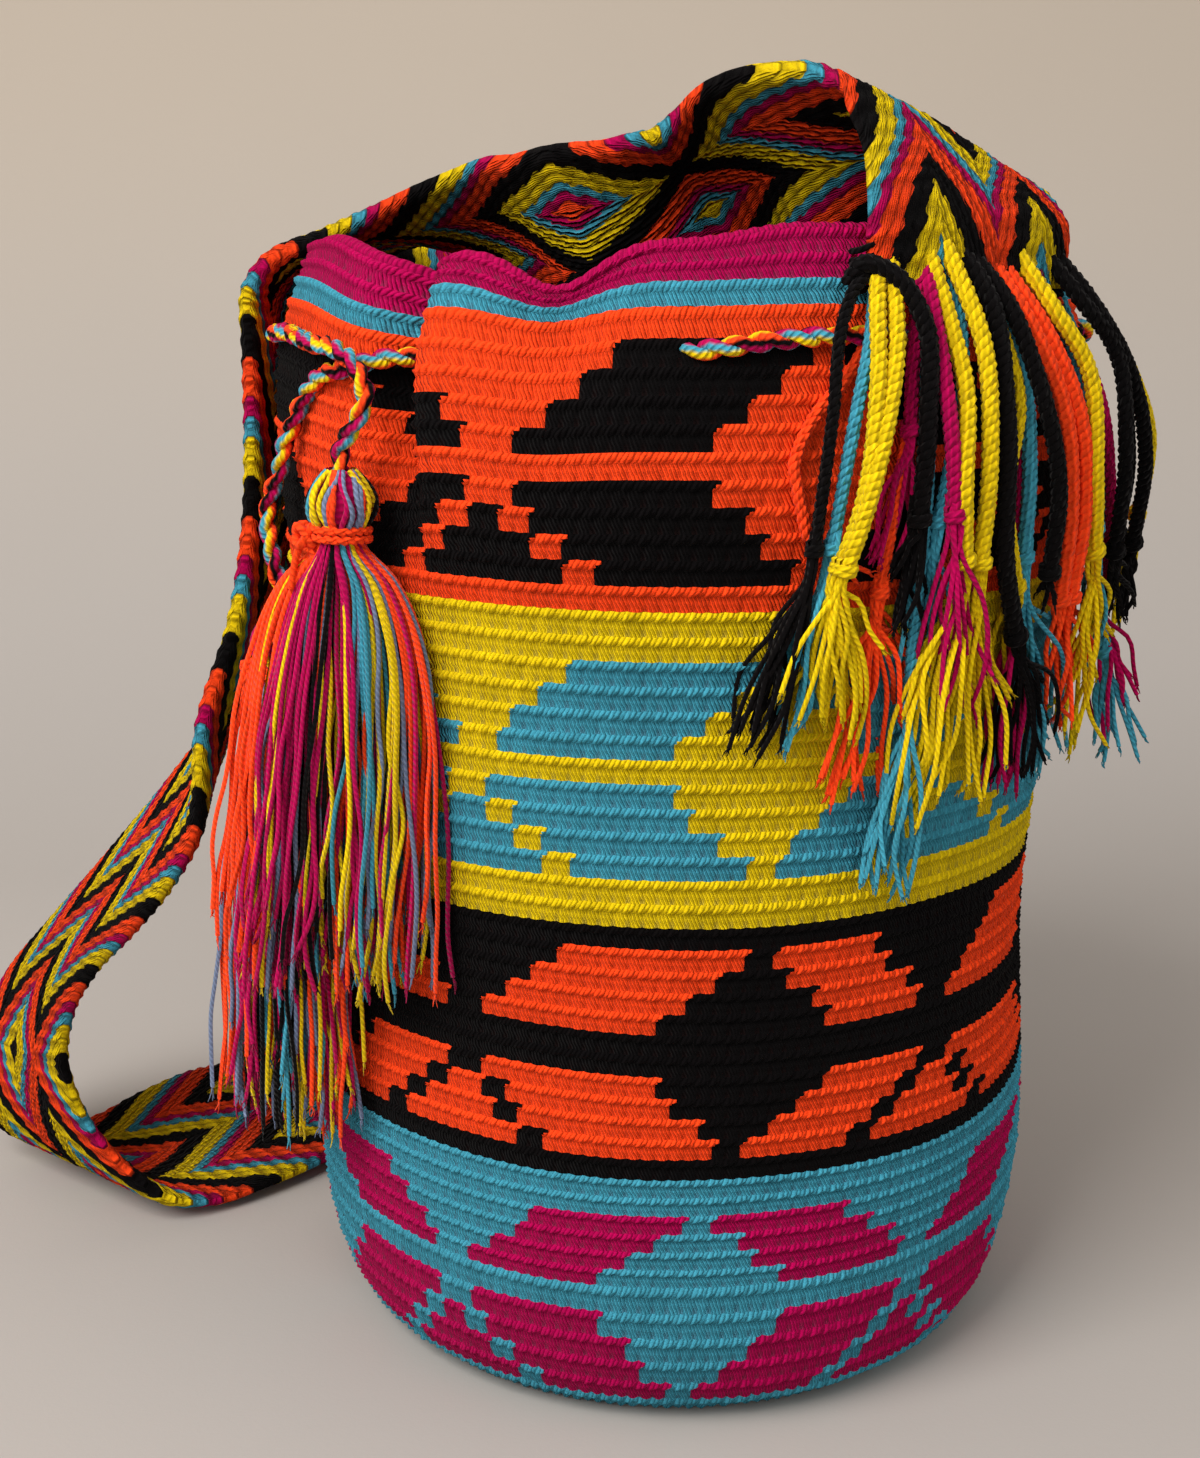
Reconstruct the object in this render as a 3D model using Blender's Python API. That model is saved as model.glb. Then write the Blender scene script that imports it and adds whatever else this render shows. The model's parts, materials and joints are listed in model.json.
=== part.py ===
"""Wayuu mochila: a crocheted bucket bag with a woven shoulder strap, strap fringes and a tasselled drawstring.

Units are metres. The origin is the centre of the base's underside and +Z points up. The front, where
the drawstring's ends hang, faces -Y. Angles round the bag are in degrees from -Y towards +X.
"""

from math import cos, pi, radians, sin

import bmesh
import bpy
import numpy as np
from mathutils import Vector

# Body
BAG_HEIGHT = 0.298
HIP_RADIUS = 0.1017
FOOT_INSET = 0.0217
FOOT_HEIGHT = 0.055
WAIST_INSET = 0.0017
SHOULDER_SWELL = 0.0068
RIM_INSET = 0.0052
WALL = 0.003
BASE_THICKNESS = 0.004
PLEAT_ANGLE = -36.0
PLEAT_SPREAD = 7.0
PLEAT_DEPTH = 0.021
PLEAT_HEIGHT = 0.083

# Drawstring
CORD_DIAMETER = 0.005
CORD_BELOW_RIM = 0.0225
EYELET_CLEARANCE = 0.0004
LACE_GAP = 0.0008
LACE_FIRST = -82.0
LACE_LAST = -322.0
LACE_SPANS = 7
LACE_FRONT = -360.0

# Tassels
TASSEL_HEAD_RADIUS = 0.0078
TASSEL_HEAD_LENGTH = 0.015
TASSEL_NECK_RADIUS = 0.0052
TIE_THICKNESS = 0.0026

# Strap
STRAP_WIDTH = 0.071
STRAP_THICKNESS = 0.0046
STRAP_LAP = 0.013
STRAP_FRONT_ANGLE = 42.0
STRAP_BACK_ANGLE = -147.0
STRAP_FOLD_RADIUS = 0.0082
BACK_SAG = 0.011
SEW_GAP = 0.0008

# Fringe
FRINGE_HEADER = 0.003
FRINGE_CORD_RADIUS = 0.0018
FRINGE_CORDS = 13
FRINGE_BITE = 0.0067

SEAT_GAP = 0.0003
AROUND = 96

CORD_RADIUS = CORD_DIAMETER / 2
CORD_HEIGHT = BAG_HEIGHT - CORD_BELOW_RIM


def spline(knots, values, at):
    """Smooth curve through the values at the knots, for one number or one vector a knot."""
    knots = np.asarray(knots, float)
    values = np.asarray(values, float)
    flat = values.reshape(len(knots), -1)
    steps = np.diff(knots)[:, None]
    slopes = np.diff(flat, axis=0) / steps
    ends = np.empty_like(flat)
    ends[1:-1] = (slopes[:-1] * steps[1:] + slopes[1:] * steps[:-1]) / (steps[:-1] + steps[1:])
    ends[0] = slopes[0]
    ends[-1] = slopes[-1]
    at = np.clip(np.asarray(at, float), knots[0], knots[-1])
    index = np.clip(np.searchsorted(knots, at, side="right") - 1, 0, len(knots) - 2)
    width = (knots[index + 1] - knots[index])[..., None]
    t = (at - knots[index])[..., None] / width
    result = (
        (2 * t**3 - 3 * t**2 + 1) * flat[index]
        + (t**3 - 2 * t**2 + t) * width * ends[index]
        + (3 * t**2 - 2 * t**3) * flat[index + 1]
        + (t**3 - t**2) * width * ends[index + 1]
    )
    return result.reshape(at.shape + values.shape[1:])


def ease(low, high, value):
    """0 below low, 1 above high, smooth between."""
    t = np.clip((value - low) / (high - low), 0, 1)
    return t * t * (3 - 2 * t)


def turn(angle):
    """Angle brought to -180 to 180 degrees."""
    return (angle + 180.0) % 360.0 - 180.0


def wall_radius(z):
    """Outer radius of the body at a height, before the pleat: a rounded foot, a waist and a full shoulder."""
    if z < FOOT_HEIGHT:
        rise = 1 - (1 - max(z, 0) / FOOT_HEIGHT) ** 2.4
        return HIP_RADIUS - FOOT_INSET + FOOT_INSET * rise ** (1 / 2.4)
    heights = [FOOT_HEIGHT, *(BAG_HEIGHT * share for share in (0.30, 0.436, 0.57, 0.725, 0.84, 0.92, 0.961, 1.0))]
    swell = SHOULDER_SWELL
    offsets = [0, -WAIST_INSET * 0.4, -WAIST_INSET, 0, swell * 0.5, swell, swell * 0.63, 0, -RIM_INSET]
    return HIP_RADIUS + float(spline(heights, offsets, z))


def pleat(angle, z):
    """How far the gathered wall is drawn in."""
    depth = PLEAT_DEPTH * ease(BAG_HEIGHT - PLEAT_HEIGHT, BAG_HEIGHT, z)
    return float(depth * np.exp(-((turn(angle - PLEAT_ANGLE) / PLEAT_SPREAD) ** 2)))


def lift(angle, z):
    """How far the soft wall rises or sags, in full at the rim and not at all below the neck."""
    waves = [(-15, 8, -0.0105), (-36, 6, -0.007), (-61, 10, 0.0016), (-97, 12, -0.006), (103, 16, -0.003)]
    full = sum(size * float(np.exp(-((turn(angle - middle) / spread) ** 2))) for middle, spread, size in waves)
    full += 0.0035 * float(ease(0, 17, turn(angle)) * ease(-92, -72, -turn(angle)))
    full -= BACK_SAG * float(ease(0, 14, 37 - abs(turn(angle - STRAP_BACK_ANGLE))))
    return full * float(ease(0.72 * BAG_HEIGHT, BAG_HEIGHT, z))


def polar(angle, radius, z):
    return Vector((radius * sin(radians(angle)), -radius * cos(radians(angle)), z))


def on_wall(angle, out, z):
    """Point at a distance outside the wall, as if the wall had no pleat, for a height before it sags."""
    return polar(angle, wall_radius(z) + out, z + lift(angle, z))


def material(name, color, roughness):
    made = bpy.data.materials.new(name)
    made.use_nodes = True
    shader = made.node_tree.nodes["Principled BSDF"]
    shader.inputs["Base Color"].default_value = (*color, 1.0)
    shader.inputs["Roughness"].default_value = roughness
    shader.inputs["Metallic"].default_value = 0.0
    return made


def add(name, bm, look):
    mesh = bpy.data.meshes.new(name)
    bm.to_mesh(mesh)
    bm.free()
    obj = bpy.data.objects.new(name, mesh)
    bpy.context.scene.collection.objects.link(obj)
    if look:
        mesh.materials.append(look)
    mesh.shade_smooth()
    mesh.set_sharp_from_angle(angle=np.radians(40))
    return obj


def loft(bm, rings):
    """Skins closed rings of points, in order, and closes both ends."""
    made = [[bm.verts.new(point) for point in ring] for ring in rings]
    for lower, upper in zip(made, made[1:]):
        for i in range(len(lower)):
            j = (i + 1) % len(lower)
            bm.faces.new((lower[i], lower[j], upper[j], upper[i]))
    bm.faces.new(made[0][::-1])
    bm.faces.new(made[-1])
    bmesh.ops.recalc_face_normals(bm, faces=bm.faces)


def tube(bm, points, radius, sides):
    """Skins a round tube along points, keeping its section from twisting."""
    points = [Vector(point) for point in points]
    side = None
    rings = []
    for i, point in enumerate(points):
        along = (points[min(i + 1, len(points) - 1)] - points[max(i - 1, 0)]).normalized()
        if side is None:
            side = along.orthogonal().normalized()
        side = (side - side.dot(along) * along).normalized()
        other = along.cross(side)
        size = radius[i] if isinstance(radius, list) else radius
        ring = []
        for k in range(sides):
            turned = 2 * pi * k / sides
            ring.append(point + size * (cos(turned) * side + sin(turned) * other))
        rings.append(ring)
    loft(bm, rings)


def cutters(name, meshes):
    """Hidden collection of solids for a Boolean."""
    group = bpy.data.collections.new(name)
    bpy.context.scene.collection.children.link(group)
    for i, bm in enumerate(meshes):
        obj = add(f"{name}_{i}", bm, None)
        bpy.context.scene.collection.objects.unlink(obj)
        group.objects.link(obj)
        obj.hide_render = True
        obj.display_type = "WIRE"
    return group


def combine(obj, operation, group):
    modifier = obj.modifiers.new(operation.title(), "BOOLEAN")
    modifier.operation = operation
    modifier.operand_type = "COLLECTION"
    modifier.collection = group
    modifier.solver = "EXACT"


# The drawstring's route, as angle, distance outside the wall and height


def lace_route():
    outside = CORD_RADIUS + LACE_GAP
    inside = -(WALL + CORD_RADIUS + LACE_GAP)
    over_other = outside + CORD_DIAMETER + 0.0012
    low = CORD_HEIGHT
    first_end = [
        (-41.9, over_other, low - 0.0225),
        (-40.1, over_other, low - 0.0172),
        (-38.6, over_other, low - 0.0115),
        (-38.2, over_other, low - 0.0062),
        (-39.9, over_other, low - 0.0022),
        (-44.5, over_other - 0.0010, low - 0.0008),
        (-51.0, over_other - 0.0030, low - 0.0012),
        (-58.0, outside + 0.0010, low - 0.0008),
        (-65.0, outside, low),
        (-72.0, outside, low),
    ]
    route = list(first_end)
    eyelets = list(np.linspace(LACE_FIRST, LACE_LAST, LACE_SPANS + 1)) + [LACE_FRONT]
    sides = [outside] + [inside, outside] * 5
    step = 6.9
    count = int((LACE_FIRST + 4 - LACE_FRONT) / step)
    for i in range(count + 1):
        angle = LACE_FIRST + 4 - i * step
        reach = sides[0]
        for hole, before, after in zip(eyelets, sides, sides[1:]):
            reach += (after - before) * float(ease(-5.5, 5.5, hole - angle))
        route.append((angle, reach, low))
    last_angle = route[-1][0]
    for angle in (-368.0, -375.0, -382.0):
        if angle < last_angle - 3:
            route.append((angle, inside, low + 0.0002))
    route += [
        (-388.5, inside, low + 0.0010),
        (-394.0, inside + 0.0006, low + 0.0030),
        (-398.0, -0.0032, low + 0.0022),
        (-402.0, 0.0006, low - 0.0020),
        (-406.5, outside, low - 0.0062),
        (-411.0, outside, low - 0.0088),
        (-414.5, outside, low - 0.0135),
        (-417.0, outside + 0.0008, low - 0.0200),
        (-419.5, outside + 0.0020, low - 0.0275),
        (-421.0, outside + 0.0034, low - 0.0350),
        (-422.0, TASSEL_HEAD_RADIUS + 0.0006, low - 0.0390),
    ]
    return route, eyelets


def build_body(route, eyelets):
    """One shell: the outer wall, the rolled rim and the inner wall down to the inside of the base."""
    shares = [0.003, 0.008, 0.016, 0.027, 0.040, 0.055]
    heights = [0.0] + [FOOT_HEIGHT / 0.055 * share for share in shares]
    low = heights[-1]
    for share in (0.10, 0.21, 0.32, 0.43, 0.54, 0.63, 0.71, 0.78, 0.84, 0.885, 0.92, 0.948, 0.972, 0.989, 1.0):
        heights.append(low + (BAG_HEIGHT - low) * share)
    angles = [360.0 * i / AROUND for i in range(AROUND)]

    def ring(height, inner, crest=0.0):
        base = (BAG_HEIGHT - BASE_THICKNESS) / BAG_HEIGHT
        z = BASE_THICKNESS + height * base if inner else height
        points = []
        for angle in angles:
            radius = wall_radius(height) - pleat(angle, height)
            inset = WALL if inner else 0.0
            if crest:
                inset = WALL / 2
            points.append(polar(angle, radius - inset, z + lift(angle, height) + crest))
        return points

    rings = [ring(height, False) for height in heights]
    rings.append(ring(BAG_HEIGHT, False, crest=WALL * 0.3))
    rings += [ring(height, True) for height in heights[::-1]]
    bm = bmesh.new()
    loft(bm, rings)
    body = add("bag_body", bm, material("crochet", (0.75, 0.12, 0.04), 0.85))
    holes = []
    passes = [turn(angle) for angle in eyelets] + [PLEAT_ANGLE + 6.5]
    places = [on_wall(*stop) for stop in route]
    for middle in passes:
        reach = 14.0
        near = [
            i
            for i, stop in enumerate(route)
            if abs(turn(stop[0] - middle)) < reach and abs(stop[2] - CORD_HEIGHT) < 0.004 and i > 8
        ]
        cutter = bmesh.new()
        tube(cutter, [places[i] for i in near], CORD_RADIUS + EYELET_CLEARANCE, 8)
        holes.append(cutter)
    combine(body, "DIFFERENCE", cutters("eyelet", holes))
    return body


def build_drawstring(route):
    points = [on_wall(*stop) for stop in route]
    plumb = Vector((0, 0, -CORD_DIAMETER))
    points = [points[0] + plumb] + points + [points[-1] + plumb]
    curve = bpy.data.curves.new("drawstring", "CURVE")
    curve.dimensions = "3D"
    curve.bevel_depth = CORD_RADIUS
    curve.bevel_resolution = 2
    curve.use_fill_caps = True
    line = curve.splines.new("POLY")
    line.points.add(len(points) - 1)
    for place, point in zip(line.points, points):
        place.co = (*point, 1.0)
    obj = bpy.data.objects.new("drawstring", curve)
    bpy.context.scene.collection.objects.link(obj)
    curve.materials.append(material("drawstring_yarn", (0.35, 0.18, 0.12), 0.85))
    return points


def build_tassel(name, top, lean, spread, length, reach, depth, look, tie_look):
    """Bundle of yarns doubled over the cord's end, with its own winding round the neck.

    top is the cord's end, lean the sideways shift of the ends and spread the level direction they fan out in.
    """
    spread = Vector(spread).normalized()
    across = spread.cross(Vector((0, 0, 1)))
    start = top - Vector((0, 0, SEAT_GAP))
    head = TASSEL_HEAD_LENGTH
    neck = head + TIE_THICKNESS * 1.5
    shape = [
        (0.0, 0.30, 0.30),
        (0.06, 0.62, 0.62),
        (0.25, 0.92, 0.92),
        (0.55, 1.0, 1.0),
        (0.85, 0.86, 0.86),
    ]
    levels = [(head * down, TASSEL_HEAD_RADIUS * a, TASSEL_HEAD_RADIUS * b) for down, a, b in shape]
    levels.append((head + TIE_THICKNESS * 0.1, TASSEL_NECK_RADIUS, TASSEL_NECK_RADIUS))
    levels.append((neck + TIE_THICKNESS * 1.3, TASSEL_NECK_RADIUS, TASSEL_NECK_RADIUS))
    for share in (0.08, 0.2, 0.4, 0.7, 1.0):
        down = neck + TIE_THICKNESS * 1.3 + (length - neck) * share
        wide = TASSEL_NECK_RADIUS + (reach - TASSEL_NECK_RADIUS) * share**0.8
        thick = TASSEL_NECK_RADIUS + (depth - TASSEL_NECK_RADIUS) * float(ease(-0.1, 0.5, share))
        levels.append((down, wide, thick))
    rings = []
    for down, wide, thick in levels:
        middle = start + Vector(lean) * (down / length) ** 1.3 - Vector((0, 0, down))
        ring = []
        for k in range(20):
            turned = 2 * pi * k / 20
            ring.append(middle + wide * cos(turned) * spread + thick * sin(turned) * across)
        rings.append(ring)
    bm = bmesh.new()
    loft(bm, rings)
    add(name, bm, look)
    inner = TASSEL_NECK_RADIUS + SEAT_GAP
    middle = start + Vector(lean) * (neck / length) ** 1.3 - Vector((0, 0, neck + TIE_THICKNESS * 0.15))
    winding = bmesh.new()
    profile = []
    for turned in np.radians((-160, -110, -60, -20)):
        profile.append((1 + cos(turned), sin(turned) - 1.0))
    for turned in np.radians((20, 60, 110, 160)):
        profile.append((1 + cos(turned), sin(turned) + 1.0))
    half = TIE_THICKNESS / 2
    loops = []
    for k in range(24):
        turned = 2 * pi * k / 24
        ring = []
        for out, up in profile:
            radius = inner + half * out * 0.9
            flat = radius * (cos(turned) * spread + sin(turned) * across)
            ring.append(winding.verts.new(middle + flat + Vector((0, 0, half * up * 0.9))))
        loops.append(ring)
    for k in range(24):
        now = loops[k]
        after = loops[(k + 1) % 24]
        for i in range(len(now)):
            j = (i + 1) % len(now)
            winding.faces.new((now[i], now[j], after[j], after[i]))
    bmesh.ops.recalc_face_normals(winding, faces=winding.faces)
    add(name + "_tie", winding, tie_look)


def seat_radius():
    """Inner radius of the strap's sewn ends, which lie on the widest part of the wall under them."""
    return wall_radius(BAG_HEIGHT - STRAP_LAP - FRINGE_HEADER) + SEW_GAP


def by_seat(angle, out, z):
    """Point at a distance outside the sewn ends' inner face."""
    return polar(angle, seat_radius() + out, z + lift(angle, z))


def strap_stations():
    """Middle of the band, its width's direction and how it curls round the wall, from the front end on."""
    low = BAG_HEIGHT - STRAP_LAP
    seat = STRAP_THICKNESS / 2
    rim = BAG_HEIGHT
    half = STRAP_WIDTH / 2
    side = HIP_RADIUS / 0.1017
    floor = STRAP_THICKNESS / 2 + SEAT_GAP
    stations = []

    def put(place, width, curl=0.0):
        stations.append((*place, *Vector(width).normalized(), curl))

    def heading(angle):
        return (cos(radians(angle)), sin(radians(angle)), 0)

    hug = 1 / (seat_radius() + seat)
    put(by_seat(STRAP_FRONT_ANGLE, seat, low), heading(STRAP_FRONT_ANGLE), hug)
    put(by_seat(STRAP_FRONT_ANGLE, seat, low + 0.006), heading(STRAP_FRONT_ANGLE), hug)
    put(by_seat(STRAP_FRONT_ANGLE, seat - 0.001, rim + 0.002), heading(STRAP_FRONT_ANGLE), hug * 0.9)
    mouth = [
        ((0.0425, -0.0990, 0.0125), (0.72, 0.69, -0.06), 6.0),
        ((0.0410, -0.0920, 0.0255), (0.68, 0.71, -0.17), 5.0),
        ((0.0365, -0.0860, 0.0350), (0.64, 0.70, -0.32), 7.0),
        ((0.0310, -0.0790, 0.0393), (0.52, 0.66, -0.52), 9.0),
        ((0.0238, -0.0710, 0.0412), (0.38, 0.60, -0.70), 12.0),
        ((0.0119, -0.0630, 0.0400), (0.42, 0.52, -0.74), 14.0),
        ((0.0019, -0.0560, 0.0336), (0.50, 0.56, -0.66), 17.0),
        ((-0.0100, -0.0500, 0.0260), (0.51, 0.57, -0.64), 18.0),
        ((-0.0218, -0.0410, 0.0248), (0.40, 0.42, -0.81), 13.0),
        ((-0.0326, -0.0330, 0.0249), (0.28, 0.34, -0.90), 9.0),
        ((-0.0409, -0.0270, 0.0231), (0.29, 0.44, -0.85), 8.0),
        ((-0.0493, -0.0220, 0.0225), (0.34, 0.56, -0.75), 8.0),
        ((-0.0650, -0.0150, 0.0176), (0.43, 0.71, -0.55), 7.0),
        ((-0.0827, -0.0080, 0.0105), (0.52, 0.80, -0.24), 4.0),
        ((-0.0990, -0.0030, 0.0035), (0.32, 0.95, 0.02), 2.0),
    ]
    spots = [Vector((x * side, y * side, rim + up)) for (x, y, up), width, curl in mouth]
    for i, (place, width, curl) in enumerate(mouth):
        travel = spots[min(i + 1, len(spots) - 1)] - spots[max(i - 1, 0)]
        width = Vector(width).normalized()
        outward = width.cross(travel).normalized()
        bend = curl * half
        drop = (1 - cos(bend)) / curl - STRAP_THICKNESS / 2
        put(spots[i] + width * (sin(bend) / curl) + outward * drop, width, curl)
    left = wall_radius(CORD_HEIGHT) + LACE_GAP + CORD_DIAMETER + SEAT_GAP + STRAP_THICKNESS / 2
    down = [
        (-107.0, -0.0050, -0.0020, 6.0),
        (-105.5, 0.0028, -0.0110, 8.3),
        (-105.0, 0.0032, -0.0280, 8.3),
        (-104.5, 0.0032, -0.0500, 8.0),
        (-103.0, 0.0038, -0.0750, 7.0),
        (-99.5, 0.0072, -0.1020, 5.0),
        (-95.0, 0.0152, -0.1300, 2.0),
    ]
    for angle, out, up, curl in down:
        back = heading(angle)
        put(polar(angle, left + out, rim + up), (-back[0], -back[1], 0), curl)
    away = HIP_RADIUS - 0.1017
    loop = [
        ((-0.139, 0.009, 0.1440), (-0.16, 0.97, 0.13)),
        ((-0.153, 0.012, 0.1240), (-0.27, 0.95, 0.09)),
        ((-0.170, 0.018, 0.1040), (-0.36, 0.93, 0.00)),
        ((-0.188, 0.026, 0.0840), (-0.44, 0.88, -0.10)),
        ((-0.202, 0.032, 0.0650), (-0.54, 0.82, -0.14)),
        ((-0.2085, 0.032, 0.0460), (-0.64, 0.75, -0.16)),
        ((-0.206, 0.029, 0.0290), (-0.73, 0.66, -0.12)),
        ((-0.196, 0.027, 0.0150), (-0.79, 0.61, -0.06)),
        ((-0.183, 0.028, 0.0072), (-0.79, 0.61, 0.00)),
        ((-0.169, 0.036, floor + 0.0030), (-0.77, 0.63, 0.07)),
        ((-0.155, 0.047, floor + 0.0055), (-0.77, 0.62, 0.13)),
        ((-0.142, 0.061, floor + 0.0065), (-0.78, 0.61, 0.15)),
        ((-0.131, 0.077, floor + 0.0050), (-0.81, 0.58, 0.10)),
    ]
    for place, width in loop:
        put(Vector(place) - Vector((away, 0, 0)), width)
    rise = seat_radius() + STRAP_THICKNESS + 2 * FRINGE_CORD_RADIUS + 0.0090
    climb = [
        (0.0100, -128.5, 0.0265, 148.0),
        (0.0260, -133.0, 0.0285, 140.0),
        (0.0500, -138.0, 0.0270, 130.0),
        (0.0850, -142.0, 0.0205, 104.0),
        (0.1300, -146.0, 0.0125, 78.0),
        (0.1750, -148.0, 0.0060, 56.0),
        (0.2080, -148.0, 0.0015, 38.0),
    ]
    for height, angle, out, faced in climb:
        share = height / 0.298 * BAG_HEIGHT if height > 0.06 else height
        put(polar(angle, rise + out, share), heading(faced))
    level = heading(STRAP_BACK_ANGLE + 180)
    top = rim - BACK_SAG
    put(polar(STRAP_BACK_ANGLE, rise, top - 0.044), level)
    put(polar(STRAP_BACK_ANGLE, rise, top - 0.014), level)
    inner = seat_radius() + seat
    middle = (rise + inner) / 2
    across = (rise - inner) / 2
    for share in (0, 30, 60, 90, 120, 150, 180):
        radius = middle + across * cos(radians(share))
        height = top + 0.001 + STRAP_FOLD_RADIUS * sin(radians(share))
        put(polar(STRAP_BACK_ANGLE, radius, height), level, hug * share / 180)
    put(by_seat(STRAP_BACK_ANGLE, seat, low + 0.006), level, hug)
    put(by_seat(STRAP_BACK_ANGLE, seat, low), level, hug)
    return np.array(stations)


def build_strap():
    stations = strap_stations()
    gaps = np.linalg.norm(np.diff(stations[:, :3], axis=0), axis=1)
    knots = np.concatenate([[0], np.cumsum(gaps**0.7)])
    at = []
    for k, gap in enumerate(gaps):
        cuts = 2 if gap < 0.012 else 3
        at += list(knots[k] + (knots[k + 1] - knots[k]) * np.arange(cuts) / cuts)
    at.append(knots[-1])
    at = np.array(at)
    along = spline(knots, stations, at + 1e-4) - spline(knots, stations, at - 1e-4)
    line = spline(knots, stations, at)
    rings = []
    for row, step in zip(line, along):
        middle = Vector(row[:3])
        travel = Vector(step[:3]).normalized()
        width = Vector(row[3:6])
        width.normalize()
        outward = width.cross(travel).normalized()
        curl = float(row[6])
        faces = ([], [])
        for share in np.linspace(-0.5, 0.5, 7):
            off = float(share) * STRAP_WIDTH
            bend = curl * off
            if abs(curl) < 0.05:
                spot = middle + width * off
            else:
                spot = middle + width * (sin(bend) / curl) - outward * ((1 - cos(bend)) / curl)
            facing = outward * cos(bend) + width * sin(bend)
            thick = STRAP_THICKNESS / 2 * (0.72 if abs(share) > 0.49 else 1.0)
            faces[0].append(spot + facing * thick)
            faces[1].append(spot - facing * thick)
        rings.append(faces[0] + faces[1][::-1])
    bm = bmesh.new()
    loft(bm, rings)
    add("strap", bm, material("strap_yarn", (0.45, 0.16, 0.08), 0.85))


def build_fringe(name, middle, left_sway, right_sway, flare, shortest, longest, look):
    """The strap's warp below its last woven row: the row itself, with cords twisted from its yarns."""
    low = BAG_HEIGHT - STRAP_LAP
    top = low - SEAT_GAP
    half = np.degrees(STRAP_WIDTH / 2 / (seat_radius() + STRAP_THICKNESS / 2)) - 0.4
    bm = bmesh.new()
    rings = []
    for angle in np.linspace(middle - half, middle + half, 13):
        rings.append(
            [
                by_seat(angle, 0, top),
                by_seat(angle, STRAP_THICKNESS, top),
                by_seat(angle, STRAP_THICKNESS, top - FRINGE_HEADER),
                by_seat(angle, 0, top - FRINGE_HEADER),
            ]
        )
    loft(bm, rings)
    header = add(name, bm, look)
    cords = []
    clear = LACE_GAP + CORD_DIAMETER + 3 * LACE_GAP + FRINGE_CORD_RADIUS
    drop = low - CORD_HEIGHT
    start = seat_radius() + STRAP_THICKNESS / 2
    leave = CORD_DIAMETER + 1.5 * FRINGE_CORD_RADIUS - FRINGE_BITE
    over = wall_radius(CORD_HEIGHT) + clear
    for i in range(FRINGE_CORDS):
        share = i / (FRINGE_CORDS - 1)
        angle = middle - half + 1.6 + (2 * half - 3.2) * share
        sway = left_sway + (right_sway - left_sway) * share
        length = shortest + (longest - shortest) * (0.5 + 0.5 * sin(2.4 * i + 1.0))
        stops = [(0.5 * FRINGE_HEADER, start), (FRINGE_HEADER + 0.0005, start + leave)]
        stops += [(drop - CORD_RADIUS, over - 0.0004), (drop, over), (drop + 0.008, over)]
        for portion in (0.42, 0.6, 0.8, 1.0):
            down = max(length * portion, drop + 0.014)
            hang = wall_radius(low - down) + LACE_GAP + FRINGE_CORD_RADIUS + 0.001
            stops.append((down, max(hang, over - 0.003 * portion) + flare * portion * share**1.5))
        cord = bmesh.new()
        places = []
        for down, radius in stops:
            swung = angle + sway * (down / length) ** 1.4
            z = low - down
            places.append(polar(swung, radius, z + lift(swung, z)))
        tube(cord, places, FRINGE_CORD_RADIUS, 7)
        cords.append(cord)
    combine(header, "UNION", cutters(name + "_cord", cords))


def build():
    for obj in list(bpy.data.objects):
        bpy.data.objects.remove(obj, do_unlink=True)
    route, eyelets = lace_route()
    build_body(route, eyelets)
    points = build_drawstring(route)
    yarns = material("tassel_yarn", (0.45, 0.10, 0.16), 0.8)
    tie = material("tie_yarn", (0.93, 0.13, 0.03), 0.8)
    build_tassel(
        "tassel_front", points[0], (-0.009, 0.004, 0), (-0.97, 0.22, 0), 0.118, 0.029, 0.008, yarns, tie
    )
    build_tassel("tassel_back", points[-1], (-0.003, -0.002, 0), (-0.9, 0.42, 0), 0.142, 0.0145, 0.0075, yarns, tie)
    build_strap()
    fringe = material("fringe_yarn", (0.55, 0.30, 0.06), 0.85)
    build_fringe("strap_fringe_front", STRAP_FRONT_ANGLE, -10.0, 6.0, 0.017, 0.078, 0.112, fringe)
    build_fringe("strap_fringe_back", STRAP_BACK_ANGLE, -2.0, 2.0, 0.0, 0.070, 0.100, fringe)


build()
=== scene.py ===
"""Wayuu mochila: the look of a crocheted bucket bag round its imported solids.

Metres, the origin at the centre of the base's underside, +Z up, the front towards -Y. Angles round the
bag are in degrees from -Y towards +X. The shapes that the solids have are worked out here again.
"""

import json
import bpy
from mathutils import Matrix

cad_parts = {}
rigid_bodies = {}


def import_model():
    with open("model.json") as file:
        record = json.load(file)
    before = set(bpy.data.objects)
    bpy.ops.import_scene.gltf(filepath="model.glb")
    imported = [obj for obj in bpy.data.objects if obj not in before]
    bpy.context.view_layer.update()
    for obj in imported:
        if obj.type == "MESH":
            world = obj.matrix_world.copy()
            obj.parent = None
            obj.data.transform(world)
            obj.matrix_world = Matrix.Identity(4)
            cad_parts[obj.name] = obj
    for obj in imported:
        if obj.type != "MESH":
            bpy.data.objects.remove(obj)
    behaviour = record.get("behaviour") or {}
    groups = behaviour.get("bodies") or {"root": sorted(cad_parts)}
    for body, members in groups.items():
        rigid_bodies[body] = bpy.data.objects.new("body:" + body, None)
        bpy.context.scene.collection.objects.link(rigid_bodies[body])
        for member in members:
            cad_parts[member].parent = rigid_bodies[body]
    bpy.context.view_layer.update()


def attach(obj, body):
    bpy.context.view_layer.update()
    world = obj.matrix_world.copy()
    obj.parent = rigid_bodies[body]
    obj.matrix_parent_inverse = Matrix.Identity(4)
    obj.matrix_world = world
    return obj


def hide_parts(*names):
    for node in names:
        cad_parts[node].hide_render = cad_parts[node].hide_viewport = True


bl_info = {
    "name": "Crocheted mochila",
    "version": (1, 0, 0),
    "blender": (4, 5, 0),
    "location": "View3D > Sidebar > Mochila",
    "description": "Builds a crocheted bucket bag with a woven strap, fringes and a tasselled drawstring",
    "category": "Add Mesh",
}

from math import cos, exp, pi, radians, sin

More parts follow.
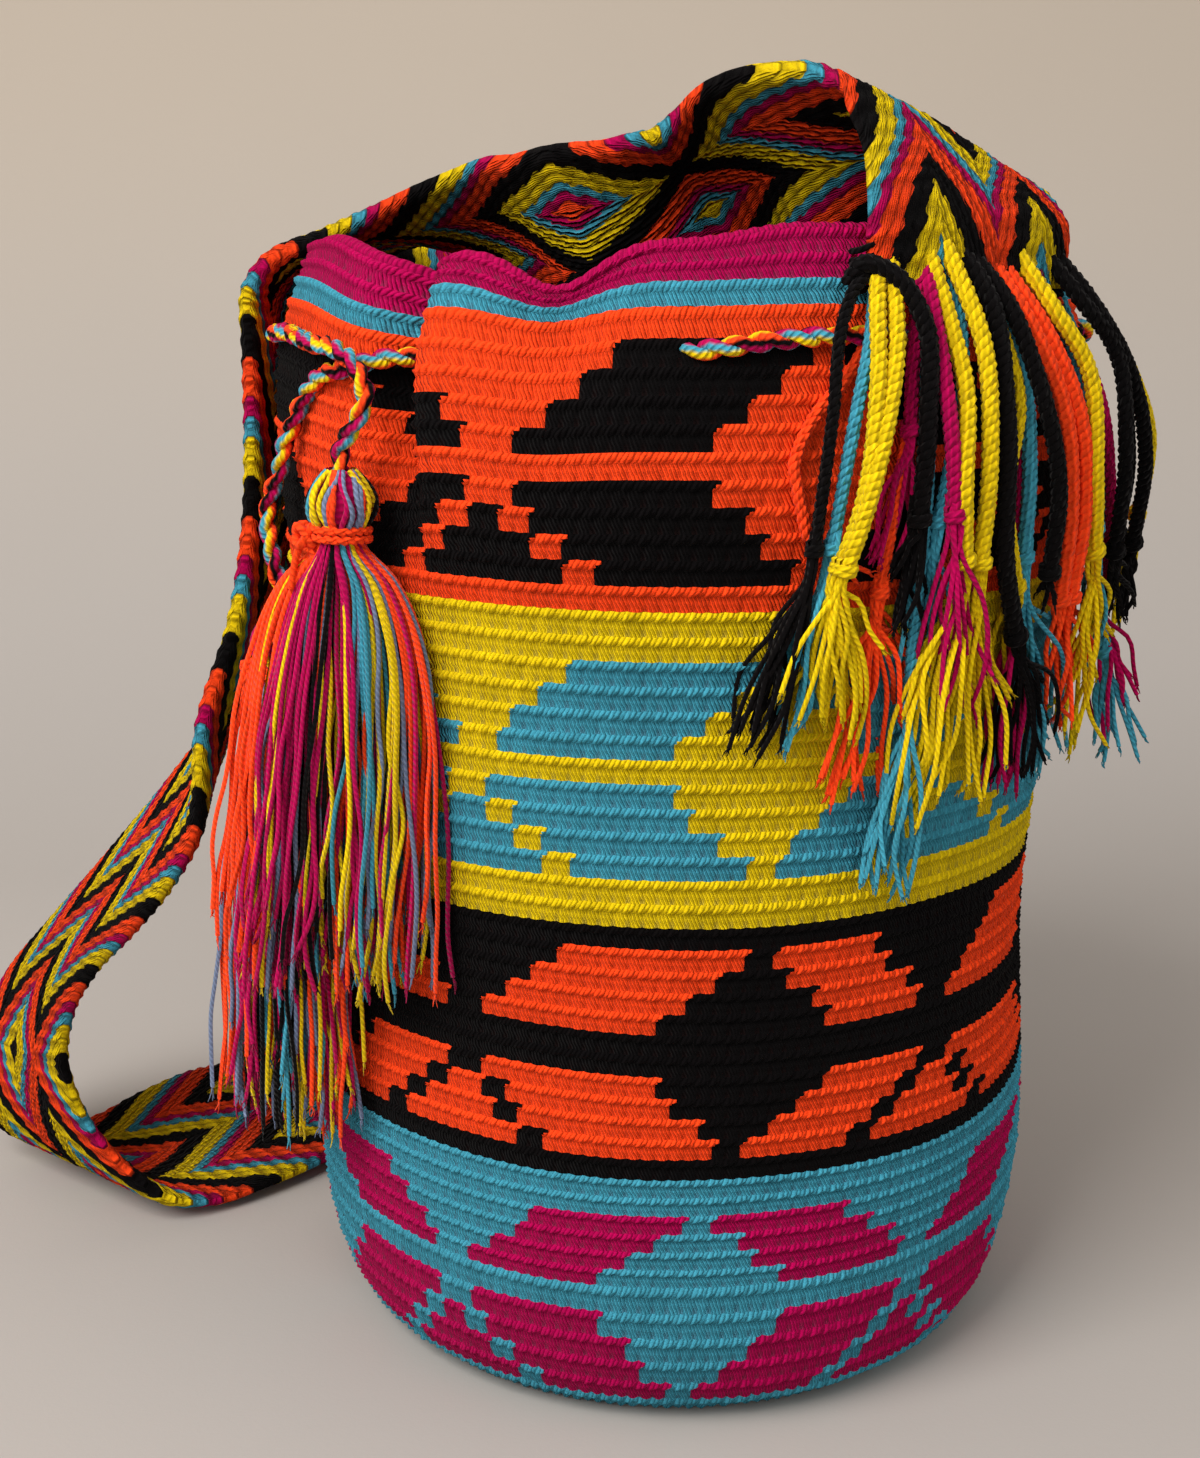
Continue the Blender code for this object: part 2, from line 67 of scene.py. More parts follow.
import bmesh
import bpy
import numpy as np
from bpy.props import FloatProperty, FloatVectorProperty, IntProperty, PointerProperty
from mathutils import Matrix, Vector

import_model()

# Sizes shared with the solids
BAG_HEIGHT = 0.298
HIP_RADIUS = 0.1017
FOOT_INSET = 0.0217
FOOT_HEIGHT = 0.055
WAIST_INSET = 0.0017
SHOULDER_SWELL = 0.0068
RIM_INSET = 0.0052
WALL = 0.003
BASE_THICKNESS = 0.004
PLEAT_ANGLE = -36.0
PLEAT_SPREAD = 7.0
PLEAT_DEPTH = 0.021
PLEAT_HEIGHT = 0.083
CORD_DIAMETER = 0.005
CORD_BELOW_RIM = 0.0225
LACE_GAP = 0.0008
LACE_FIRST = -82.0
LACE_LAST = -322.0
LACE_SPANS = 7
LACE_FRONT = -360.0
TASSEL_HEAD_RADIUS = 0.0078
TASSEL_HEAD_LENGTH = 0.015
TASSEL_NECK_RADIUS = 0.0052
TIE_THICKNESS = 0.0026
STRAP_WIDTH = 0.071
STRAP_THICKNESS = 0.0046
STRAP_LAP = 0.013
STRAP_FRONT_ANGLE = 42.0
STRAP_BACK_ANGLE = -147.0
STRAP_FOLD_RADIUS = 0.0082
BACK_SAG = 0.011
SEW_GAP = 0.0008
FRINGE_HEADER = 0.003
FRINGE_CORD_RADIUS = 0.0018
SEAT_GAP = 0.0003
CORD_RADIUS = CORD_DIAMETER / 2
CORD_HEIGHT = BAG_HEIGHT - CORD_BELOW_RIM

# Crochet: rows from the rim down, and the colour areas that they make
STITCHES = 180
REPEATS = 5
ROWS = 53
FIRST_ROW = 1
ROW_MARKS = (1, 3, 4, 5, 15, 28, 40, 46)
ROW_HEIGHTS = (0.298, 0.2897, 0.2843, 0.2776, 0.2170, 0.139, 0.073, 0.0436)

RNG = np.random.default_rng(7)


def linear(red, green, blue):
    """Linear colour of an sRGB one given from 0 to 255."""
    return tuple(((c / 255 + 0.055) / 1.055) ** 2.4 if c > 10 else c / 255 / 12.92 for c in (red, green, blue))


# Linear colour of each yarn, filled from the properties before a piece is made
YARNS = {}


# Forms shared with the solids


def spline(knots, values, at):
    """Smooth curve through the values at the knots, for one number or one vector a knot."""
    knots = np.asarray(knots, float)
    values = np.asarray(values, float)
    flat = values.reshape(len(knots), -1)
    steps = np.diff(knots)[:, None]
    slopes = np.diff(flat, axis=0) / steps
    ends = np.empty_like(flat)
    ends[1:-1] = (slopes[:-1] * steps[1:] + slopes[1:] * steps[:-1]) / (steps[:-1] + steps[1:])
    ends[0] = slopes[0]
    ends[-1] = slopes[-1]
    at = np.clip(np.asarray(at, float), knots[0], knots[-1])
    index = np.clip(np.searchsorted(knots, at, side="right") - 1, 0, len(knots) - 2)
    width = (knots[index + 1] - knots[index])[..., None]
    t = (at - knots[index])[..., None] / width
    result = (
        (2 * t**3 - 3 * t**2 + 1) * flat[index]
        + (t**3 - 2 * t**2 + t) * width * ends[index]
        + (3 * t**2 - 2 * t**3) * flat[index + 1]
        + (t**3 - t**2) * width * ends[index + 1]
    )
    return result.reshape(at.shape + values.shape[1:])


def ease(low, high, value):
    t = np.clip((value - low) / (high - low), 0, 1)
    return t * t * (3 - 2 * t)


def turn(angle):
    return (angle + 180.0) % 360.0 - 180.0


def wall_radius(z):
    """Outer radius of the body at a height, before the pleat."""
    z = np.asarray(z, float)
    rise = 1 - (1 - np.clip(z, 0, FOOT_HEIGHT) / FOOT_HEIGHT) ** 2.4
    foot = HIP_RADIUS - FOOT_INSET + FOOT_INSET * rise ** (1 / 2.4)
    heights = [FOOT_HEIGHT, *(BAG_HEIGHT * share for share in (0.30, 0.436, 0.57, 0.725, 0.84, 0.92, 0.961, 1.0))]
    swell = SHOULDER_SWELL
    offsets = [0, -WAIST_INSET * 0.4, -WAIST_INSET, 0, swell * 0.5, swell, swell * 0.63, 0, -RIM_INSET]
    return np.where(z < FOOT_HEIGHT, foot, HIP_RADIUS + spline(heights, offsets, z))


def pleat(angle, z):
    depth = PLEAT_DEPTH * ease(BAG_HEIGHT - PLEAT_HEIGHT, BAG_HEIGHT, z)
    return depth * np.exp(-((turn(angle - PLEAT_ANGLE) / PLEAT_SPREAD) ** 2))


def lift(angle, z):
    waves = [(-15, 8, -0.0105), (-36, 6, -0.007), (-61, 10, 0.0016), (-97, 12, -0.006), (103, 16, -0.003)]
    full = sum(size * np.exp(-((turn(angle - middle) / spread) ** 2)) for middle, spread, size in waves)
    full = full + 0.0035 * ease(0, 17, turn(angle)) * ease(-92, -72, -turn(angle))
    full = full - BACK_SAG * ease(0, 14, 37 - np.abs(turn(angle - STRAP_BACK_ANGLE)))
    return full * ease(0.72 * BAG_HEIGHT, BAG_HEIGHT, z)


def polar(angle, radius, z):
    return Vector((float(radius * sin(radians(angle))), float(-radius * cos(radians(angle))), float(z)))


def on_wall(angle, out, z):
    return polar(angle, wall_radius(z) + out, z + lift(angle, z))


def seat_radius():
    return float(wall_radius(BAG_HEIGHT - STRAP_LAP - FRINGE_HEADER)) + SEW_GAP


def by_seat(angle, out, z):
    return polar(angle, seat_radius() + out, z + lift(angle, z))


def lace_route():
    outside = CORD_RADIUS + LACE_GAP
    inside = -(WALL + CORD_RADIUS + LACE_GAP)
    over_other = outside + CORD_DIAMETER + 0.0012
    low = CORD_HEIGHT
    route = [
        (-41.9, over_other, low - 0.0225),
        (-40.1, over_other, low - 0.0172),
        (-38.6, over_other, low - 0.0115),
        (-38.2, over_other, low - 0.0062),
        (-39.9, over_other, low - 0.0022),
        (-44.5, over_other - 0.0010, low - 0.0008),
        (-51.0, over_other - 0.0030, low - 0.0012),
        (-58.0, outside + 0.0010, low - 0.0008),
        (-65.0, outside, low),
        (-72.0, outside, low),
    ]
    eyelets = list(np.linspace(LACE_FIRST, LACE_LAST, LACE_SPANS + 1)) + [LACE_FRONT]
    sides = [outside] + [inside, outside] * 5
    step = 6.9
    count = int((LACE_FIRST + 4 - LACE_FRONT) / step)
    for i in range(count + 1):
        angle = LACE_FIRST + 4 - i * step
        reach = sides[0]
        for hole, before, after in zip(eyelets, sides, sides[1:]):
            reach += (after - before) * float(ease(-5.5, 5.5, hole - angle))
        route.append((angle, reach, low))
    last_angle = route[-1][0]
    for angle in (-368.0, -375.0, -382.0):
        if angle < last_angle - 3:
            route.append((angle, inside, low + 0.0002))
    route += [
        (-388.5, inside, low + 0.0010),
        (-394.0, inside + 0.0006, low + 0.0030),
        (-398.0, -0.0032, low + 0.0022),
        (-402.0, 0.0006, low - 0.0020),
        (-406.5, outside, low - 0.0062),
        (-411.0, outside, low - 0.0088),
        (-414.5, outside, low - 0.0135),
        (-417.0, outside + 0.0008, low - 0.0200),
        (-419.5, outside + 0.0020, low - 0.0275),
        (-421.0, outside + 0.0034, low - 0.0350),
        (-422.0, TASSEL_HEAD_RADIUS + 0.0006, low - 0.0390),
    ]
    points = [on_wall(*stop) for stop in route]
    plumb = Vector((0, 0, -CORD_DIAMETER))
    return [points[0] + plumb] + points + [points[-1] + plumb]


# Where the weave's phase stands at the strap's first stations, and at the loop's turn
WEAVE_FRONT = (8.0, 9.1, 10.6, 11.6, 15.0, 17.0, 19.0, 20.7, 23.0, 26.0, 29.0, 26.0, 23.0, 25.0, 27.0, 31.0, 35.0, 39.0)
WEAVE_TURN = 30
WEAVE_STEP = 0.0052


def strap_stations():
    """Middle of the band, its width's direction and how it curls, from the front end on."""
    low = BAG_HEIGHT - STRAP_LAP
    seat = STRAP_THICKNESS / 2
    rim = BAG_HEIGHT
    half = STRAP_WIDTH / 2
    side = HIP_RADIUS / 0.1017
    floor = STRAP_THICKNESS / 2 + SEAT_GAP
    stations = []

    def put(place, width, curl=0.0):
        stations.append((*place, *Vector(width).normalized(), curl))

    def heading(angle):
        return (cos(radians(angle)), sin(radians(angle)), 0)

    hug = 1 / (seat_radius() + seat)
    put(by_seat(STRAP_FRONT_ANGLE, seat, low), heading(STRAP_FRONT_ANGLE), hug)
    put(by_seat(STRAP_FRONT_ANGLE, seat, low + 0.006), heading(STRAP_FRONT_ANGLE), hug)
    put(by_seat(STRAP_FRONT_ANGLE, seat - 0.001, rim + 0.002), heading(STRAP_FRONT_ANGLE), hug * 0.9)
    mouth = [
        ((0.0425, -0.0990, 0.0125), (0.72, 0.69, -0.06), 6.0),
        ((0.0410, -0.0920, 0.0255), (0.68, 0.71, -0.17), 5.0),
        ((0.0365, -0.0860, 0.0350), (0.64, 0.70, -0.32), 7.0),
        ((0.0310, -0.0790, 0.0393), (0.52, 0.66, -0.52), 9.0),
        ((0.0238, -0.0710, 0.0412), (0.38, 0.60, -0.70), 12.0),
        ((0.0119, -0.0630, 0.0400), (0.42, 0.52, -0.74), 14.0),
        ((0.0019, -0.0560, 0.0336), (0.50, 0.56, -0.66), 17.0),
        ((-0.0100, -0.0500, 0.0260), (0.51, 0.57, -0.64), 18.0),
        ((-0.0218, -0.0410, 0.0248), (0.40, 0.42, -0.81), 13.0),
        ((-0.0326, -0.0330, 0.0249), (0.28, 0.34, -0.90), 9.0),
        ((-0.0409, -0.0270, 0.0231), (0.29, 0.44, -0.85), 8.0),
        ((-0.0493, -0.0220, 0.0225), (0.34, 0.56, -0.75), 8.0),
        ((-0.0650, -0.0150, 0.0176), (0.43, 0.71, -0.55), 7.0),
        ((-0.0827, -0.0080, 0.0105), (0.52, 0.80, -0.24), 4.0),
        ((-0.0990, -0.0030, 0.0035), (0.32, 0.95, 0.02), 2.0),
    ]
    spots = [Vector((x * side, y * side, rim + up)) for (x, y, up), width, curl in mouth]
    for i, (place, width, curl) in enumerate(mouth):
        travel = spots[min(i + 1, len(spots) - 1)] - spots[max(i - 1, 0)]
        width = Vector(width).normalized()
        outward = width.cross(travel).normalized()
        bend = curl * half
        drop = (1 - cos(bend)) / curl - STRAP_THICKNESS / 2
        put(spots[i] + width * (sin(bend) / curl) + outward * drop, width, curl)
    left = float(wall_radius(CORD_HEIGHT)) + LACE_GAP + CORD_DIAMETER + SEAT_GAP + STRAP_THICKNESS / 2
    down = [
        (-107.0, -0.0050, -0.0020, 6.0),
        (-105.5, 0.0028, -0.0110, 8.3),
        (-105.0, 0.0032, -0.0280, 8.3),
        (-104.5, 0.0032, -0.0500, 8.0),
        (-103.0, 0.0038, -0.0750, 7.0),
        (-99.5, 0.0072, -0.1020, 5.0),
        (-95.0, 0.0152, -0.1300, 2.0),
    ]
    for angle, out, up, curl in down:
        back = heading(angle)
        put(polar(angle, left + out, rim + up), (-back[0], -back[1], 0), curl)
    away = HIP_RADIUS - 0.1017
    loop = [
        ((-0.139, 0.009, 0.1440), (-0.16, 0.97, 0.13)),
        ((-0.153, 0.012, 0.1240), (-0.27, 0.95, 0.09)),
        ((-0.170, 0.018, 0.1040), (-0.36, 0.93, 0.00)),
        ((-0.188, 0.026, 0.0840), (-0.44, 0.88, -0.10)),
        ((-0.202, 0.032, 0.0650), (-0.54, 0.82, -0.14)),
        ((-0.2085, 0.032, 0.0460), (-0.64, 0.75, -0.16)),
        ((-0.206, 0.029, 0.0290), (-0.73, 0.66, -0.12)),
        ((-0.196, 0.027, 0.0150), (-0.79, 0.61, -0.06)),
        ((-0.183, 0.028, 0.0072), (-0.79, 0.61, 0.00)),
        ((-0.169, 0.036, floor + 0.0030), (-0.77, 0.63, 0.07)),
        ((-0.155, 0.047, floor + 0.0055), (-0.77, 0.62, 0.13)),
        ((-0.142, 0.061, floor + 0.0065), (-0.78, 0.61, 0.15)),
        ((-0.131, 0.077, floor + 0.0050), (-0.81, 0.58, 0.10)),
    ]
    for place, width in loop:
        put(Vector(place) - Vector((away, 0, 0)), width)
    rise = seat_radius() + STRAP_THICKNESS + 2 * FRINGE_CORD_RADIUS + 0.0090
    climb = [
        (0.0100, -128.5, 0.0265, 148.0),
        (0.0260, -133.0, 0.0285, 140.0),
        (0.0500, -138.0, 0.0270, 130.0),
        (0.0850, -142.0, 0.0205, 104.0),
        (0.1300, -146.0, 0.0125, 78.0),
        (0.1750, -148.0, 0.0060, 56.0),
        (0.2080, -148.0, 0.0015, 38.0),
    ]
    for height, angle, out, faced in climb:
        share = height / 0.298 * BAG_HEIGHT if height > 0.06 else height
        put(polar(angle, rise + out, share), heading(faced))
    level = heading(STRAP_BACK_ANGLE + 180)
    top = rim - BACK_SAG
    put(polar(STRAP_BACK_ANGLE, rise, top - 0.044), level)
    put(polar(STRAP_BACK_ANGLE, rise, top - 0.014), level)
    inner = seat_radius() + seat
    middle = (rise + inner) / 2
    across = (rise - inner) / 2
    for share in (0, 30, 60, 90, 120, 150, 180):
        radius = middle + across * cos(radians(share))
        height = top + 0.001 + STRAP_FOLD_RADIUS * sin(radians(share))
        put(polar(STRAP_BACK_ANGLE, radius, height), level, hug * share / 180)
    put(by_seat(STRAP_BACK_ANGLE, seat, low + 0.006), level, hug)
    put(by_seat(STRAP_BACK_ANGLE, seat, low), level, hug)
    return np.array(stations)


# Meshes from arrays


def new_piece(name, verts, faces, look, uvs=None, tints=None, replaces=()):
    """One smooth mesh piece; uvs and tints hold one value for each vertex, or for each face's corner."""
    verts = np.asarray(verts, float)
    mesh = bpy.data.meshes.new(name)
    quads = np.asarray(faces, np.int32)
    mesh.vertices.add(len(verts))
    mesh.vertices.foreach_set("co", verts.ravel())
    mesh.loops.add(quads.size)
    mesh.loops.foreach_set("vertex_index", quads.ravel())
    mesh.polygons.add(len(quads))
    mesh.polygons.foreach_set("loop_start", np.arange(0, quads.size, quads.shape[1], dtype=np.int32))
    mesh.update(calc_edges=True)
    mesh.validate()
    corners = quads.ravel()
    if uvs is not None:
        uvs = np.asarray(uvs, float)
        layer = mesh.uv_layers.new(name="yarn")
        layer.data.foreach_set("uv", (uvs if len(uvs) == len(corners) else uvs[corners]).ravel())
    if tints is not None:
        tints = np.asarray(tints, float)
        tints = tints if len(tints) == len(corners) else tints[corners]
        layer = mesh.color_attributes.new(name="tint", type="FLOAT_COLOR", domain="CORNER")
        layer.data.foreach_set("color", np.c_[tints, np.ones(len(tints))].ravel())
    mesh.materials.append(look)
    mesh.shade_smooth()
    obj = bpy.data.objects.new(name, mesh)
    bpy.context.scene.collection.objects.link(obj)
    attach(obj, "root")
    if replaces:
        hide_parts(*replaces)
    return obj


def grid_faces(rows, columns, closed=False):
    """Quads of a grid of rows by columns of vertices; closed joins the last column to the first."""
    across = np.arange(columns if closed else columns - 1)
    down = np.arange(rows - 1)[:, None]
    a = down * columns + across
    b = down * columns + (across + 1) % columns
    return np.stack([a, a + columns, b + columns, b], -1).reshape(-1, 4)


def grid_normals(points, closed=False):
    """Unit normals of a grid of points, rows by columns."""
    if closed:
        across = np.roll(points, -1, 1) - np.roll(points, 1, 1)
    else:
        across = np.gradient(points, axis=1)
    down = np.gradient(points, axis=0)
    normal = np.cross(across, down)
    return normal / np.maximum(np.linalg.norm(normal, axis=-1, keepdims=True), 1e-12)


def resample(points, step):
    """Points at even steps along a smooth line through the given ones."""
    points = np.array([tuple(p) for p in points], float)
    gaps = np.linalg.norm(np.diff(points, axis=0), axis=1)
    knots = np.r_[0, np.cumsum(gaps)]
    fine = spline(knots, points, np.linspace(0, knots[-1], len(points) * 16))
    run = np.r_[0, np.cumsum(np.linalg.norm(np.diff(fine, axis=0), axis=1))]
    count = max(int(run[-1] / step) + 1, 3)
    at = np.linspace(0, run[-1], count)
    return np.stack([np.interp(at, run, fine[:, k]) for k in range(3)], -1), at


def frames(points):
    """Tangents and two cross directions that don't twist."""
    along = np.gradient(points, axis=0)
    along /= np.linalg.norm(along, axis=1)[:, None]
    side = np.cross(along[0], (0.31, 0.27, 0.91))
    side /= np.linalg.norm(side)
    sides = []
    for direction in along:
        side = side - direction * (side @ direction)
        side /= np.linalg.norm(side)
        sides.append(side)
    sides = np.array(sides)
    return along, sides, np.cross(along, sides)


class Yarns:
    """Gathers many tubes in one mesh."""

    def __init__(self):
        self.verts, self.faces, self.uvs, self.tints, self.count = [], [], [], [], 0

    def tube(self, points, radius, sides, tint, spin=0.0):
        """Round tube along points; the map holds the share round it and the run along it in metres."""
        points = np.asarray(points, float)
        along, side, other = frames(points)
        run = np.r_[0, np.cumsum(np.linalg.norm(np.diff(points, axis=0), axis=1))]
        turned = np.linspace(0, 2 * pi, sides + 1) + spin
        sizes = np.broadcast_to(radius, len(points))[:, None, None]
        ring = np.cos(turned)[None, :, None] * side[:, None] + np.sin(turned)[None, :, None] * other[:, None]
        verts = points[:, None] + sizes * ring
        self.verts.append(verts.reshape(-1, 3))
        self.faces.append(grid_faces(len(points), sides + 1)[:, ::-1] + self.count)
        share = np.broadcast_to(np.linspace(0, 1, sides + 1), (len(points), sides + 1))
        length = np.broadcast_to(run[:, None], (len(points), sides + 1))
        self.uvs.append(np.stack([share, length], -1).reshape(-1, 2))
        self.tints.append(np.broadcast_to(tint, (verts.shape[0] * verts.shape[1], 3)))
        self.count += verts.shape[0] * verts.shape[1]

    def cord(self, points, radius, pitch, tints, plies=2, sides=7, step=0.0011, taper=None, grip=0.96):
        """Twisted cord: plies wound round the line, one tint each."""
        line, run = resample(points, step)
        along, side, other = frames(line)
        fine = radius * grip if grip < 0.9 else radius / (1 + grip)
        fine = fine if plies > 1 else radius
        offset = radius - fine
        scale = np.ones(len(line)) if taper is None else np.interp(run / run[-1], *taper)
        for k in range(plies):
            turned = 2 * pi * (run / pitch + k / plies)
            shift = np.cos(turned)[:, None] * side + np.sin(turned)[:, None] * other
            self.tube(line + (offset * scale)[:, None] * shift, fine * 1.13 * scale, sides, tints[k % len(tints)])

    def piece(self, name, look, slot, replaces=()):
        return new_piece(
            name,
            np.concatenate(self.verts),
            np.concatenate(self.faces),
            look,
            np.concatenate(self.uvs),
            np.concatenate(self.tints),
            replaces,
        )


# Shader expressions


class Value:
    """A socket with arithmetic."""

    def __init__(self, tree, socket):
        self.tree, self.socket = tree, socket

    def node(self, kind, settings=(), out=0, **links):
        made = self.tree.nodes.new(kind)
        for key, value in dict(settings).items():
            setattr(made, key, value)
        for key, value in links.items():
            place = made.inputs[int(key[1:])] if key[0] == "i" and key[1:].isdigit() else made.inputs[key.replace("_", " ")]
            if isinstance(value, Value):
                self.tree.links.new(value.socket, place)
            else:
                place.default_value = value
        return Value(self.tree, made.outputs[out])

    def math(self, operation, other=0.0, third=0.0):
        return self.node("ShaderNodeMath", {"operation": operation}, i0=self, i1=other, i2=third)

    def __add__(self, other):
        return self.math("ADD", other)

    def __radd__(self, other):
        return self.math("ADD", other)

    def __sub__(self, other):
        return self.math("SUBTRACT", other)

    def __rsub__(self, other):
        return self.node("ShaderNodeMath", {"operation": "SUBTRACT"}, i0=other, i1=self)

    def __mul__(self, other):
        return self.math("MULTIPLY", other)

    def __rmul__(self, other):
        return self.math("MULTIPLY", other)

    def __truediv__(self, other):
        return self.math("DIVIDE", other)

    def __mod__(self, other):
        return self.math("FLOORED_MODULO", other)

    def sin(self):
        return self.math("SINE")

    def abs(self):
        return self.math("ABSOLUTE")

    def fract(self):
        return self.math("FRACT")

    def floor(self):
        return self.math("FLOOR")

    def above(self, limit):
        return self.math("GREATER_THAN", limit)

    def power(self, exponent):
        return self.math("POWER", exponent)

    def step(self, low, high):
        return self.node(
            "ShaderNodeMapRange", {"interpolation_type": "SMOOTHSTEP"}, Value=self, From_Min=low, From_Max=high
        )

    def least(self, other):
        return self.math("MINIMUM", other)

    def greatest(self, other):
        return self.math("MAXIMUM", other)


class Yarn_look:
    """A new fibre material with its shader, map and tint at hand."""

    def __init__(self, name, roughness=0.9, sheen=0.01):
        self.material = bpy.data.materials.new(name)
        self.material.use_nodes = True
        self.tree = self.material.node_tree
        self.shader = self.tree.nodes["Principled BSDF"]
        self.shader.inputs["Roughness"].default_value = roughness
        self.shader.inputs["Specular IOR Level"].default_value = 0.06
        self.shader.inputs["Sheen Weight"].default_value = sheen
        self.shader.inputs["Sheen Roughness"].default_value = 0.5
        self.start = Value(self.tree, None)

    def uv(self):
        place = self.start.node("ShaderNodeUVMap", {"uv_map": "yarn"})
        parts = place.node("ShaderNodeSeparateXYZ", i0=place)
        return parts, Value(self.tree, parts.socket.node.outputs[1])

    def tint(self):
        return self.start.node("ShaderNodeAttribute", {"attribute_name": "tint"})

    def noise(self, scale, detail=2.0):
        place = self.start.node("ShaderNodeTexCoord", out=3)
        return place.node("ShaderNodeTexNoise", Vector=place, Scale=scale, Detail=detail)

    def shade(self, color, amount):
        """Colour times a grey amount."""
        grey = amount.node("ShaderNodeCombineXYZ", i0=amount, i1=amount, i2=amount)
        return color.node("ShaderNodeVectorMath", {"operation": "MULTIPLY"}, i0=color, i1=grey)

    def finish(self, color, height=None, distance=0.0003, strength=1.0):
        self.tree.links.new(color.socket, self.shader.inputs["Base Color"])
        if height is not None:
            bump = height.node("ShaderNodeBump", Height=height, Distance=distance, Strength=strength)
            self.tree.links.new(bump.socket, self.shader.inputs["Normal"])
        return self.material


CHAIN = 0.38
LEAN = 2.2


def crochet_look(name="crochet_yarn"):
    """Plies of the yarn on each stitch: one way on the chain along a row's top, the other on the legs."""
    look = Yarn_look(name)
    u, v = look.uv()
    q = v.fract()
    chain = 1.0 - q.step(CHAIN - 0.03, CHAIN + 0.03)
    warp = look.noise(420.0)
    slant_up = ((u * 3.0 + q * 2.6 + warp * 0.5) * (2 * pi)).sin()
    slant_down = ((u * 4.0 - q * 2.6 + warp * 0.7) * (2 * pi)).sin()
    plies = chain * slant_up + (1.0 - chain) * slant_down * 1.6
    fuzz = look.noise(2600.0, 3.0)
    patch = look.noise(60.0)
    # The plies brighten and darken the colour as painted highlight and shade, besides the bump; fuzz and patch are
    # random tone
    amount = 0.80 + plies * 0.13 + fuzz * 0.22 + patch * 0.16
    height = plies * 0.5 + fuzz * 0.8
    return look.finish(look.shade(look.tint(), amount), height, 0.0005, 0.9)


def thread_look(name, run_pitch, stripes=2.0, depth=0.0003, sheen=0.03, twist_shade=0.15):
    """Twisted yarn: stripes wind round each thread."""
    look = Yarn_look(name, 0.8, sheen)
    u, v = look.uv()
    warp = look.noise(300.0)
    twist = ((u * stripes + v * (stripes / run_pitch) + warp * 0.25) * (2 * pi)).sin()
    fuzz = look.noise(2600.0, 3.0)
    # The twist's stripes brighten and darken the colour as painted highlight and shade, besides the bump; fuzz is
    # random tone
    amount = 0.86 + twist * twist_shade + fuzz * 0.25
    height = twist * 0.6 + fuzz * 0.5
    return look.finish(look.shade(look.tint(), amount), height, depth, 0.9)


def weave_look():
    """Strap: stripes of plaited ribs by the weave's phase, each rib a chain of slanting links."""
    look = Yarn_look("strap_weave")
    u, phase = look.uv()
    rib = phase.fract()
    swing = ((u * 23.0 + rib * 0.9) * (2 * pi)).sin() * 0.16
    turn8 = ((phase + swing) % 8.0) / 8.0
    ramp_stops = [(0.0, "orange"), (0.25, "magenta"), (0.375, "blue"), (0.5, "yellow"), (0.75, "black")]
    ramp = turn8.node("ShaderNodeValToRGB", Fac=turn8)
    node = ramp.socket.node
    node.color_ramp.interpolation = "CONSTANT"
    for i, (place, yarn) in enumerate(ramp_stops):
        stop = node.color_ramp.elements[i] if i < 2 else node.color_ramp.elements.new(place)
        stop.position = place
        stop.color = (*YARNS[yarn], 1)
    # Painted shade in the grooves between the ribs, darkening the colour by up to 62%; the same mask lowers the relief
    painted_groove_shade = ((phase.fract() - 0.5).abs() * 2.0).power(3.0)
    warp = look.noise(260.0)
    links = ((u * 23.0 + rib * 0.9 + warp * 0.35) * (2 * pi)).sin()
    plies = ((u * 69.0 - rib * 2.2 + warp * 1.2) * (2 * pi)).sin()
    fuzz = look.noise(2600.0, 3.0)
    # The links and plies brighten and darken the colour as painted highlight and shade, besides the bump; fuzz is
    # random tone
    amount = (0.86 + links * 0.20 + plies * 0.10 + fuzz * 0.22) * (1.0 - painted_groove_shade * 0.62)
    height = (1.0 - painted_groove_shade) * (0.9 + links * 1.0) + plies * 0.25 + fuzz * 0.4
    return look.finish(look.shade(ramp, amount), height, 0.0009, 1.0)


# The crocheted body


def row_heights(rows):
    """Height of each row's border: measured marks down the side, even steps round the foot."""
    z = np.linspace(ROW_HEIGHTS[-1], 0, 400)
    radius = wall_radius(z)
    run = np.r_[0, np.cumsum(np.hypot(np.diff(z), np.diff(radius)))]
    rows = np.asarray(rows, float)
    side = np.interp(rows, ROW_MARKS, ROW_HEIGHTS)
    share = np.clip((rows - ROW_MARKS[-1]) / (ROWS - ROW_MARKS[-1]), 0, 1)
    return np.where(rows > ROW_MARKS[-1], np.interp(share * run[-1], run, z), side)


# First row, ground, figure, first row of the upper half and of the lower half, and the lozenge's place
BANDS = (
    (4, "orange", "black", 5, 10, 40.2, 0.0),
    (15, "yellow", "blue", 17, 22, 40.3, -1.5),
    (28, "black", "orange", 29, 35, 40.8, -0.5),
    (40, "blue", "magenta", 42, 47, 36.4, 0.4),
)


# Half the width of the lozenge on each row out from its point, in degrees
LOZENGE = (2.0, 5.3, 8.8, 12.4)


